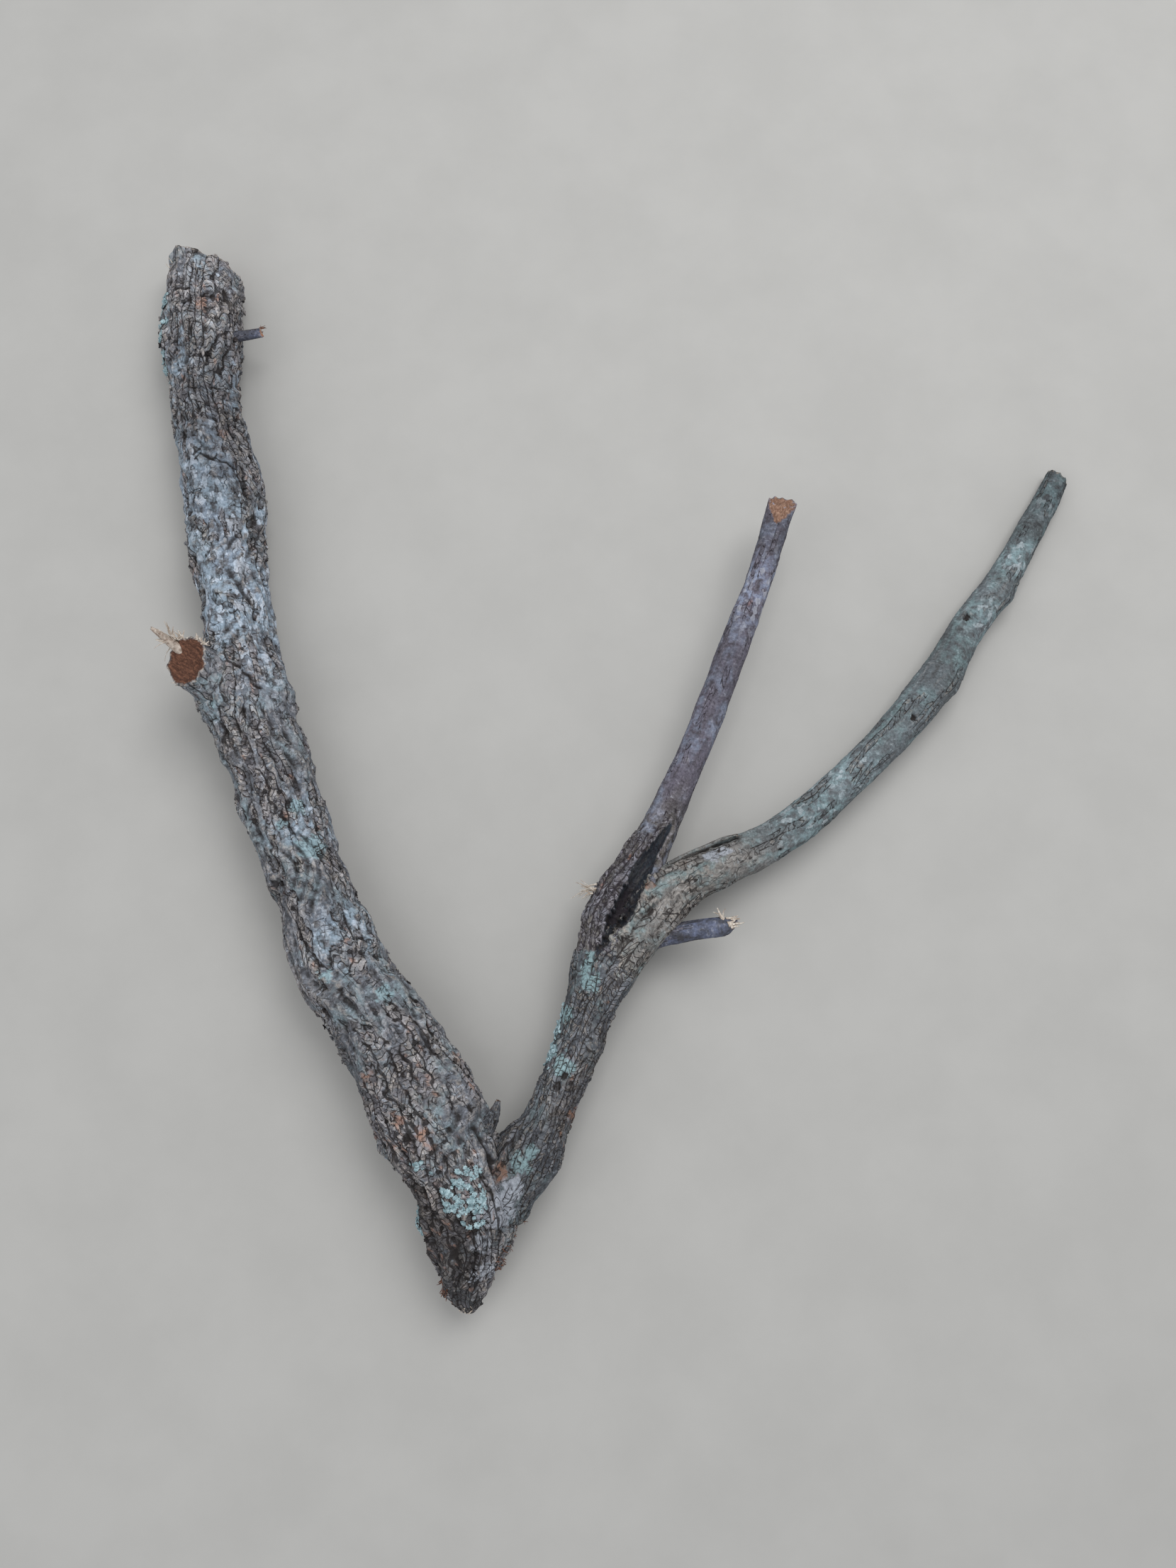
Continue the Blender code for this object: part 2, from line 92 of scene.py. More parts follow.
# Routes: each station is x, y, z, half width and half height of the limb there.
THICK_LIMB = (
    (-61, -158, 19, 3, 2.5), (-62, -151, 21, 9.5, 6), (-62, -142, 23, 13.5, 10),
    (-61.5, -130, 25, 18.5, 15.5), (-60.5, -116, 26, 23.5, 21), (-62, -101, 26.5, 24.5, 25),
    (-69, -84, 26.5, 25.5, 27), (-79, -66, 26.5, 27.5, 27.5), (-88, -50, 26.5, 28, 27),
    (-98, -33, 27, 26, 25.5), (-109, -14.5, 27.5, 24.6, 24.5), (-122, 4, 28, 23.2, 23.5),
    (-132.5, 20, 28.5, 23.6, 23), (-140, 37.5, 28.5, 21.4, 22), (-147, 56.5, 28.5, 20, 21),
    (-157, 79.5, 28.5, 20.4, 20.5), (-166, 103, 28, 21.2, 21), (-175, 127, 27.5, 22, 21.5),
    (-183, 147, 27.5, 22.6, 22.5), (-189, 167, 27, 22.4, 22.5), (-192, 185, 26.5, 20.5, 21),
    (-195, 205, 26, 18.4, 20), (-200.5, 231, 25.5, 19.4, 20), (-205, 256.5, 25, 21.2, 20.5),
    (-209, 284, 24.5, 22, 21), (-214, 306, 24, 21.4, 21), (-219, 324, 23.5, 19.8, 20.5),
    (-224, 349, 22.5, 19.3, 20), (-226.5, 373, 22, 21.8, 20.5), (-227.5, 396, 20.5, 22.4, 21),
    (-228.5, 416, 19, 21.8, 20.5), (-228, 431, 18.2, 20.6, 20),
)
SIDE_LIMB = (
    (-49, -117, 26, 12, 11), (-43, -100, 27, 15.2, 16), (-34.5, -84, 27.5, 17, 18),
    (-26.5, -71, 27.5, 15.2, 16), (-21.5, -61.5, 27.5, 12.6, 13), (-17, -51, 27.5, 12, 12.2),
    (-9, -33, 27.5, 12.4, 12.4), (-3.5, -18.5, 27, 12.8, 12.8), (1, -3.5, 26.5, 13.2, 13.2),
    (6, 11.5, 26.5, 15, 14.4), (11, 24, 26.5, 17.5, 15), (16, 36, 26.5, 19, 15.5),
)
STRAIGHT_SHOOT = (
    (3.5, 5, 26.5, 12.6, 12.6), (5.5, 18, 26.5, 12.8, 13), (8, 31, 27, 13, 13.2),
    (11.5, 43.5, 28, 13.2, 13), (17, 56, 29, 12.7, 12.5), (25, 69, 29.5, 11.8, 12),
    (34, 82.5, 30, 11, 11), (41, 96, 30.5, 9.8, 10), (49, 114, 31.5, 8.9, 9.2),
    (57.5, 133.5, 32.5, 8.2, 8.4), (67.5, 157, 33.5, 8.3, 8.3), (80, 191, 35.5, 8.2, 8.2),
    (88, 211, 36.5, 7.5, 7.8), (97, 235.5, 38, 7.2, 7.4), (105, 262, 39.5, 7.4, 7.2),
    (109, 274.5, 40, 8.2, 7.2),
)
CURVED_SHOOT = (
    (7, 2, 26, 12.4, 12.6), (12.5, 14, 26, 12.8, 13), (20.5, 28, 26, 14.2, 13.8),
    (31.5, 42, 25.5, 14.8, 14.2), (42, 54.5, 25, 14.4, 14), (53.5, 63, 24.5, 13, 13),
    (66, 69.5, 24, 12.2, 12.2), (81.5, 76.5, 23, 11.8, 11.6), (97, 83.5, 22.5, 10.8, 11),
    (113, 94, 21.5, 10.7, 10.7), (129.5, 107, 20.5, 10.4, 10.5), (146, 122.5, 19.5, 10.1, 10.2),
    (162.5, 138, 18.5, 10.4, 10.2), (181.5, 158.5, 17, 11.2, 10.4), (199, 180, 15.5, 11.3, 10.4),
    (213, 203, 14, 10, 10), (225.5, 220.5, 12.8, 9.7, 9.6), (234.5, 231.5, 12, 9.4, 9.2),
    (246, 249, 10.6, 8.5, 8.6), (257.5, 269, 9, 8, 8.2), (271, 291.5, 6.6, 7.4, 7.6),
    (277, 303, 5.6, 6.6, 6.8),
)
SNAPPED_STUB = (
    (-184, 161, 26, 16, 15.5), (-193, 165.5, 33, 16, 15), (-201.5, 170, 40.5, 14.2, 13.6),
    (-209, 174.5, 47.5, 13.2, 12.8), (-215, 178.5, 53.5, 12.8, 12.4),
)
SIDE_TWIG = (
    (22, 30, 25.5, 6.6, 6.6), (34, 32.5, 26.5, 6.4, 6.4), (44, 34.5, 27, 5.6, 5.6),
    (59, 37, 28, 5.4, 5.4), (72, 38.5, 29, 5.2, 5.2), (76, 39.5, 29.3, 3.4, 3.4),
    (80, 41, 29.6, 1, 1),
)
TINY_TWIG = (
    (-222, 381, 25, 4, 4), (-208, 382.5, 26.5, 3.4, 3.4), (-200, 383, 27.5, 3, 3),
    (-191, 384, 28.5, 2.7, 2.7),
)
BARK_SPUR = ((-56, -70, 34, 7, 5), (-50, -61.5, 38, 4.4, 3.2), (-46, -51, 41, 1.2, 0.9))
STUB_SPLINTER = ((-212, 181, 43, 5, 4), (-223, 188.5, 48.5, 3.2, 2.4), (-235, 197, 53, 0.9, 0.7))
TOP_SPLINTER = ((-241, 410, 24, 4, 3.4), (-240.5, 426, 26, 3, 2.4), (-240, 438, 27, 0.9, 0.8))
ROTTEN_SPLIT = (
    (3, 20, 44, 1.6, 3), (8, 29.5, 43, 3, 8), (13.5, 39, 43, 5, 13), (19.5, 49, 43, 6.2, 15),
    (25, 59.5, 43, 6.2, 12), (30, 69.5, 43, 5.2, 9.5), (34.5, 78, 42.5, 3.2, 8),
    (40.5, 86.5, 42, 2.2, 6), (45, 93, 42, 1.4, 3.5),
)
# Lumps: the centre x, y, z, how far it reaches and how much it rises, or sinks below zero.
THICK_LUMPS = (
    ((-106, -42, 50), 13, 2.2), ((-66, -38, 44), 12, 2.6), ((-58, -52, 42), 9, 2.4),
    ((-84, -78, 52), 16, 1.8), ((-104, -74, 30), 14, 2), ((-72, -104, 48), 13, 2.4),
    ((-50, -122, 40), 11, -2.2), ((-84, -112, 30), 11, 1.8), ((-64, -132, 38), 8, 1.4),
    ((-155, 28, 30), 10, 3.4), ((-138, 8, 46), 12, 1.6), ((-120, 38, 34), 11, 1.6),
    ((-146, 62, 47), 13, 1.4), ((-180, 94, 32), 12, 1.6), ((-160, 120, 44), 12, 1.5),
    ((-208, 158, 30), 13, 3.6), ((-186, 160, 49), 16, 2.4), ((-172, 176, 36), 12, 1.8),
    ((-190, 205, 45), 11, -1.8), ((-219, 246, 30), 13, 1.4), ((-190, 268, 38), 13, 1.6),
    ((-214, 296, 45), 14, 1.4), ((-232, 318, 30), 12, -1.4), ((-206, 384, 34), 10, 2),
    ((-244, 384, 30), 12, 1.8), ((-226, 402, 41), 13, -1.6),
)
SIDE_LUMPS = (
    ((-44, -92, 40), 9, 1.8), ((-22, -80, 36), 9, 1.6), ((-20, -52, 38), 7, -1),
    ((0, -26, 37), 8, 1.2), ((-6, 4, 36), 8, 1.4), ((18, 8, 34), 9, 1.6),
)
STRAIGHT_LUMPS = (
    ((6, 46, 38), 9, 2.6), ((12, 64, 40), 8, 2.4), ((26, 84, 38), 8, 1.6), ((62, 132, 38), 6, 0.9),
    ((60, 158, 38), 6, 0.8), ((86, 188, 42), 6, 0.9), ((82, 212, 42), 6, 0.8),
)
CURVED_LUMPS = (
    ((38, 66, 34), 9, 1.8), ((46, 44, 34), 10, 1.6), ((70, 76, 34), 8, 1.2),
    ((118, 88, 28), 7, 1.2), ((182, 160, 28), 7, 1.6), ((206, 172, 20), 7, 1.8),
    ((216, 216, 20), 7, 1.4), ((240, 228, 14), 6, 1.8),
)


def linear(hex_colour: str) -> tuple[float, float, float, float]:
    """Turn an sRGB hex colour into the linear colour that a shader takes.

    Args:
        hex_colour: six hex digits.

    Returns:
        The linear red, green, blue and alpha.
    """
    parts = [int(hex_colour[i : i + 2], 16) / 255 for i in (0, 2, 4)]
    bright = [c / 12.92 if c <= 0.04045 else ((c + 0.055) / 1.055) ** 2.4 for c in parts]
    return (*bright, 1.0)


def add_node(
    tree: bpy.types.NodeTree, kind: str, links: dict[int | str, Any] | None = None, **settings: Any
) -> bpy.types.Node:
    """Add a node with its settings and what goes into its sockets.

    Args:
        tree: the node tree.
        kind: the node's type name.
        links: for each input socket a value, or an output socket to link from.
        settings: the node's own settings.

    Returns:
        The new node.
    """
    node = tree.nodes.new(kind)
    for name, value in settings.items():
        setattr(node, name, value)
    for key, value in (links or {}).items():
        if isinstance(value, bpy.types.NodeSocket):
            tree.links.new(value, node.inputs[key])
        else:
            node.inputs[key].default_value = value
    return node


def smooth_rise(low: float, high: float, value: Array) -> Array:
    """Rise smoothly from 0 to 1 while the value goes from low to high."""
    t = np.clip((value - low) / (high - low), 0.0, 1.0)
    return t * t * (3 - 2 * t)


class Grain:
    """Smooth and cellular noise over arrays of places, the same on every run."""

    def __init__(self, seed: int) -> None:
        """Remember which of the many patterns this one is."""
        self.seed = seed

    def number(self, cells: Array, salt: int) -> Array:
        """Give each whole-numbered cell a number from 0 to 1.

        Args:
            cells: the cells, with three numbers last.
            salt: which of the cell's numbers is wanted.

        Returns:
            One number for each cell.
        """
        key = cells.astype(np.int64).astype(np.uint32)
        mixed = key[..., 0] * np.uint32(374761393) + key[..., 1] * np.uint32(668265263)
        mixed += key[..., 2] * np.uint32(2246822519)
        mixed += np.uint32((self.seed * 9277 + salt * 26699 + 12345) % 2**32)
        mixed ^= mixed >> np.uint32(15)
        mixed *= np.uint32(1274126177)
        mixed ^= mixed >> np.uint32(13)
        mixed *= np.uint32(2654435761)
        mixed ^= mixed >> np.uint32(16)
        return mixed / 2**32

    def smooth(self, places: Array) -> Array:
        """Smooth noise from about -1 to 1, one swell for each unit of length.

        Args:
            places: the places, with three numbers last.

        Returns:
            One number for each place.
        """
        base = np.floor(places)
        part = places - base
        fade = part**3 * (part * (part * 6 - 15) + 10)
        total = np.zeros(places.shape[:-1])
        for step in itertools.product((0, 1), repeat=3):
            corner = np.array(step)
            turn = TAU * self.number(base + corner, 1)
            lift = 2 * self.number(base + corner, 2) - 1
            flat = np.sqrt(1 - lift * lift)
            apart = part - corner
            slope = apart[..., 0] * flat * np.cos(turn) + apart[..., 1] * flat * np.sin(turn)
            weight = np.prod(np.where(corner == 1, fade, 1 - fade), axis=-1)
            total += (slope + apart[..., 2] * lift) * weight
        return total * 1.7

    def layered(self, places: Array, octaves: int = 3) -> Array:
        """Smooth noise with finer noise on it, each half as strong as the last."""
        return sum(self.smooth(places * 2**i + 17.3 * i) / 2**i for i in range(octaves))

    def cells(self, places: Array) -> tuple[Array, Array]:
        """Split space into cells of about one unit.

        Args:
            places: the places, with three numbers last.

        Returns:
            How far each place is from its cell's border, and its cell's own number from 0 to 1.
        """
        base = np.floor(places)
        first = np.full(places.shape[:-1], 9.0)
        second = np.full(places.shape[:-1], 9.0)
        number = np.zeros(places.shape[:-1])
        for step in itertools.product((-1, 0, 1), repeat=3):
            cell = base + np.array(step)
            spot = cell + np.stack([0.1 + 0.8 * self.number(cell, i) for i in (3, 4, 5)], -1)
            gap = np.linalg.norm(places - spot, axis=-1)
            nearer = gap < first
            second = np.where(nearer, first, np.minimum(second, gap))
            number = np.where(nearer, self.number(cell, 6), number)
            first = np.minimum(first, gap)
        return (second - first) / 2, number


def blurred(heights: Array, reach: int) -> Array:
    """Average a field over its neighbours, round the limb and along it.

    Args:
        heights: the field, ring by ring.
        reach: how many neighbours count on each side.

    Returns:
        The smoother field.
    """
    span = 2 * reach + 1
    for _ in range(2):
        heights = sum(np.roll(heights, i, axis=1) for i in range(-reach, reach + 1)) / span
        padded = np.pad(heights, ((reach, reach), (0, 0)), mode="edge")
        heights = sum(padded[i : i + len(heights)] for i in range(span)) / span
    return heights


def solid_noise(places: Array) -> Array:
    """The same noise that shapes the solids, at each place."""
    flat = places.reshape(-1, 3).tolist()
    return np.array([noise.noise(Vector(place)) for place in flat]).reshape(places.shape[:-1])


@dataclass(frozen=True)
class CoarseBark:
    """How coarse the bark of a limb's solid is."""

    ridge_height: float
    ridge_width: float
    ridge_length: float
    furrows: int = 0

    def relief(self, angle: Array, distance: Array, radius: Array) -> Array:
        """Height of the solid's ridges.

        Args:
            angle: the angle round the limb.
            distance: the distance along it.
            radius: the limb's radius there.

        Returns:
            The height in millimetres.
        """
        turn = np.stack([np.cos(angle), np.sin(angle)], -1)
        along = distance[..., None] / self.ridge_length
        across = np.concatenate([turn * (radius / self.ridge_width)[..., None], along], -1)
        coarse = solid_noise(across * 0.9)
        fine = solid_noise(across * 1.7 + np.array((7.3, 2.1, 5.7)))
        furrow = 0.0
        if self.furrows:
            wander = 2.5 * solid_noise(np.concatenate([turn * 0.4, along * 0.5], -1))
            furrow = 0.35 * np.cos(self.furrows * (angle + wander))
        return self.ridge_height * (1.1 * coarse + 0.8 * fine + furrow) * np.minimum(1, radius / 10)


@dataclass(frozen=True)
class BrokenEnd:
    """How a limb ends: how ragged, how oblique, how deep the middle lies and how splintered."""

    ragged: float = 0.0
    slope: float = 0.0
    slope_towards: float = 0.0
    hollow: float = 0.0
    splinters: float = 0.6
    fringe: float = 0.5

    def shift(self, angle: Array) -> Array:
        """How far the end stands out along the limb on each side of it.

        Args:
            angle: the angle round the limb.

        Returns:
            The shift in millimetres.
        """
        slice_at = np.full_like(angle, END_SLICE)
        round_about = np.stack([np.cos(angle) * 1.6, np.sin(angle) * 1.6, slice_at], -1)
        rag = self.ragged * solid_noise(round_about * 1.3)
        return rag + self.slope * np.cos(angle - self.slope_towards)

    def fray(self, angle: Array) -> Array:
        """How far the torn bark stands up round the very edge of the end."""
        round_about = [np.cos(angle) * 5, np.sin(angle) * 5, np.full_like(angle, 2.0)]
        return self.fringe * np.maximum(0.0, Grain(13).layered(np.stack(round_about, -1), 2) + 0.2)


@dataclass
class Skin:
    """The rings of points that make a limb's surface, with what is known at each point."""

    places: Array
    outward: Array
    angle: Array
    distance: Array
    radius: Array
    bare: Array
    height: Array
    poles: tuple[Array, Array]
    masks: dict[str, Array] = field(default_factory=dict)

    @property
    def around(self) -> Array:
        """The place on the limb as if it were straight, in millimetres."""
        turn = (self.radius * np.cos(self.angle), self.radius * np.sin(self.angle))
        return np.stack([*turn, self.distance], -1)

    @property
    def bark_end(self) -> float:
        """The distance along the limb at which its bark ends."""
        return self.distance[self.bare[:, 0] < 1][-1, 0]

    def push(self, rise: Array) -> None:
        """Move each point outwards by its rise."""
        self.places = self.places + self.outward * rise[..., None]
        self.height = self.height + rise


@dataclass(frozen=True)
class Limb:
    """One limb, from its stations to a closed surface of rings."""

    name: str
    stations: tuple[Station, ...]
    sides: int
    spacing: float
    coarse: CoarseBark
    lumps: tuple[Lump, ...] = ()
    tip: BrokenEnd = BrokenEnd()
    # Where a buried root or tip is drawn in, as the length over which that happens.
    root_tuck: float = 0.0
    tip_tuck: float = 0.0

    def rings(self, spacing: float) -> Array:
        """Rings along a smooth curve through the stations.

        Args:
            spacing: the distance between rings.

        Returns:
            For each ring its distance, centre and half width and half height.
        """
        rows = np.array(self.stations)
        last = len(rows) - 1
        t = (np.arange(12) / 12)[:, None]
        fine = []
        for i in range(last):
            before, start, end, after = (rows[min(max(k, 0), last)] for k in range(i - 1, i + 3))
            bend = (2 * before - 5 * start + 4 * end - after) * t * t
            twist = (3 * start - before - 3 * end + after) * t**3
            fine.append(0.5 * (2 * start + (end - before) * t + bend + twist))
        curve = np.concatenate([*fine, rows[-1:]])
        steps = np.linalg.norm(np.diff(curve[:, :3], axis=0), axis=1)
        travelled = np.concatenate([[0.0], np.cumsum(steps)])
        count = max(2, round(travelled[-1] / spacing))
        goals = np.linspace(0.0, travelled[-1], count + 1)
        columns = [np.interp(goals, travelled, column) for column in curve.T]
        return np.stack([goals, *columns], axis=1)

    def gap_from(self, places: Array) -> Array:
        """How far places are from the limb's smooth surface, below zero inside it.

        Args:
            places: the places.

        Returns:
            The distance of each place in millimetres.
        """
        best = np.full(places.shape[:-1], FAR)
        for _, x, y, z, half_width, half_height in self.rings(3.0):
            apart = np.linalg.norm(places - np.array((x, y, z)), axis=-1)
            best = np.minimum(best, apart - (half_width + half_height) / 2)
        return best

    def skin(self) -> Skin:
        """Lay out the surface with the solid's own relief, lumps and broken ends.

        Returns:
            The rings from the root's cap to the tip's cap.
        """
        rings = self.rings(self.spacing)
        length = rings[-1, 0]
        centre = rings[:, 1:4]
        along = np.gradient(centre, axis=0)
        along /= np.linalg.norm(along, axis=1)[:, None]
        right = np.cross(along, (0.0, 0.0, 1.0))
        right /= np.linalg.norm(right, axis=1)[:, None]
        over = np.cross(right, along)
        turn = TAU * np.arange(self.sides) / self.sides
        angle, distance = np.meshgrid(turn, rings[:, 0])
        tuck = self.tuck(rings[:, 0], length)
        wide = (rings[:, 4] * tuck)[:, None, None] * right[:, None] * np.cos(angle)[..., None]
        high = (rings[:, 5] * tuck)[:, None, None] * over[:, None] * np.sin(angle)[..., None]
        radius = np.linalg.norm(wide + high, axis=-1)
        outward = (wide + high) / radius[..., None]
        places = centre[:, None] + wide + high
        rise = self.coarse.relief(angle, distance, radius) + self.lump_rise(places)
        places += outward * rise[..., None]
        near_tip = np.clip(1 - (length - distance) / END_BLEND, 0, 1)
        shift = near_tip * self.tip.shift(turn)
        shift += np.exp(-(length - distance) / 1.6) * self.tip.fray(turn)
        places += along[:, None] * shift[..., None]
        body = [places, outward, angle, distance, radius, np.zeros_like(angle), rise]
        tip_cap, tip_pole = self.cap([part[-1] for part in body], along[-1], self.tip)
        root_cap, root_pole = self.cap([part[0] for part in body], -along[0], BrokenEnd())
        parts = [np.concatenate(row) for row in zip([c[::-1] for c in root_cap], body, tip_cap)]
        return Skin(*parts, poles=(root_pole, tip_pole))

    def tuck(self, distance: Array, length: float) -> Array:
        """How much of its width each ring keeps, where an end is buried in another limb.

        Args:
            distance: the distance of each ring along the limb.
            length: the limb's length.

        Returns:
            The share that each ring keeps.
        """
        kept = np.ones_like(distance)
        if self.root_tuck:
            kept *= 0.55 + 0.45 * smooth_rise(0.0, self.root_tuck, distance)
        if self.tip_tuck:
            kept *= 0.45 + 0.55 * smooth_rise(0.0, self.tip_tuck, length - distance)
        return kept

    def lump_rise(self, places: Array) -> Array:
        """How far the lumps push each place of the surface outwards.

        Args:
            places: the surface's places.

        Returns:
            The rise in millimetres, below zero for a dent.
        """
        rise = np.zeros(places.shape[:-1])
        for centre, reach, height in self.lumps:
            rise += height * nearness(places, centre, reach)
        return rise

    def cap(self, rim: list[Array], way: Array, end: BrokenEnd) -> tuple[list[Array], Array]:
        """Close a rim with rings of broken wood that shrink to its middle.

        Args:
            rim: the places, directions, angles, distances, radii, bareness and heights of the rim.
            way: the direction in which the end faces.
            end: how the end is broken.

        Returns:
            The rings from the rim inwards, and the middle point.
        """
        places, _, angle, distance, radius, _, _ = rim
        centre = places.mean(axis=0)
        count = max(4, round(radius.mean() / 1.1))
        grain = Grain(31)
        layers: list[list[Array]] = []
        for i in range(1, count):
            t = i / count
            place = places + (centre - places) * t
            cross = place / 1.5
            cross = cross - (cross @ way)[:, None] * way * 0.8
            rough = grain.layered(cross, 2) * end.splinters * min(1.0, 4 * t)
            sink = end.hollow * smooth_rise(0.0, 0.5, np.array(t))
            place = place + way * (rough - sink)[:, None]
            facing = np.broadcast_to(way, place.shape)
            ring = [place, facing, angle, distance + radius.mean() * t, radius * (1 - t)]
            layers.append([*ring, np.ones_like(angle), rough - sink])
        return [np.array(rows) for rows in zip(*layers)], centre - way * end.hollow


def build_mesh(name: str, skin: Skin) -> bpy.types.Object:
    """Make a closed mesh object of a skin, inside the solids' box and above the ground.

    Args:
        name: the piece's name.
        skin: the surface and its masks.

    Returns:
        The object, at the origin.
    """
    rings, sides = skin.angle.shape
    points = np.concatenate([skin.places.reshape(-1, 3), np.array(skin.poles)])
    points = within_box((points + LAID) * MM)
    k = np.arange(sides)
    ring = np.arange(rings - 1)[:, None] * sides
    after = (k + 1) % sides
    quads = np.stack([ring + k, ring + sides + k, ring + sides + after, ring + after], -1)
    first_pole, last_pole = rings * sides, rings * sides + 1
    last = (rings - 1) * sides
    root_fan = np.stack([np.full(sides, first_pole), k, after], -1)
    tip_fan = np.stack([np.full(sides, last_pole), last + after, last + k], -1)
    mesh = bpy.data.meshes.new(name)
    faces = [*quads.reshape(-1, 4).tolist(), *root_fan.tolist(), *tip_fan.tolist()]
    mesh.from_pydata(points.tolist(), [], faces)
    for mask, values in {**skin.masks, "bare": skin.bare}.items():
        layer = mesh.attributes.new(mask, "FLOAT", "POINT")
        ends = [values[0].mean(), values[-1].mean()]
        values = np.concatenate([values.reshape(-1), ends])
        layer.data.foreach_set("value", values.astype(np.float32))
    lie = mesh.attributes.new("lie", "FLOAT_VECTOR", "POINT")
    along = skin.around.reshape(-1, 3)
    along = np.concatenate([along, along[:1], along[-1:]])
    lie.data.foreach_set("vector", along.astype(np.float32).reshape(-1))
    mesh.shade_smooth()
    obj = bpy.data.objects.new(name, mesh)
    bpy.context.scene.collection.objects.link(obj)
    return obj


def within_box(points: Array) -> Array:
    """Keep points inside the box of the solids."""
    low, high = (np.array(corner) for corner in CAD_BOX)
    return np.clip(points, low + INSIDE * np.array((1, 1, 0)), high - INSIDE)


def nearness(places: Array, centre: Iterable[float], reach: float) -> Array:
    """How near places are to a centre: 1 at it, 0.37 at its reach and 0 well past that."""
    apart = np.linalg.norm(places - np.array(centre), axis=-1) / reach
    return np.exp(-apart * apart)


def near_spots(places: Array, spots: Iterable[Spot], ragged: float, seed: int) -> Array:
    """Ragged patches round a few chosen places.

    Args:
        places: the surface's places.
        spots: each patch's middle and reach.
        ragged: how much noise eats into the patches' edges.
        seed: which noise.

    Returns:
        0 outside the patches to 1 inside them.
    """
    total = np.zeros(places.shape[:-1])
    for *centre, reach in spots:
        total = np.maximum(total, nearness(places, centre, reach))
    torn = Grain(seed).layered(places / PATCH_EDGE, 3) * ragged
    return smooth_rise(0.36, 0.5, total + torn * (total > 0.05))


def near_line(places: Array, line: tuple[tuple[float, float], ...]) -> Array:
    """How far places are, seen from above, from a line through some points.

    Args:
        places: the places.
        line: the points, each as x and y.

    Returns:
        The distance of each place.
    """
    best = np.full(places.shape[:-1], FAR)
    flat = places[..., :2]
    for start, end in zip(np.array(line), np.array(line[1:])):
        way = end - start
        share = np.clip(((flat - start) @ way) / (way @ way), 0, 1)
        best = np.minimum(best, np.linalg.norm(flat - start - share[..., None] * way, axis=-1))
    return best


def bent_by(places: Array) -> Array:
    """A small sideways waver for lines that would be too straight."""
    grain = Grain(5)
    return np.stack([grain.smooth(places / 5.0 + 30 * i) for i in (1, 2, 3)], -1)


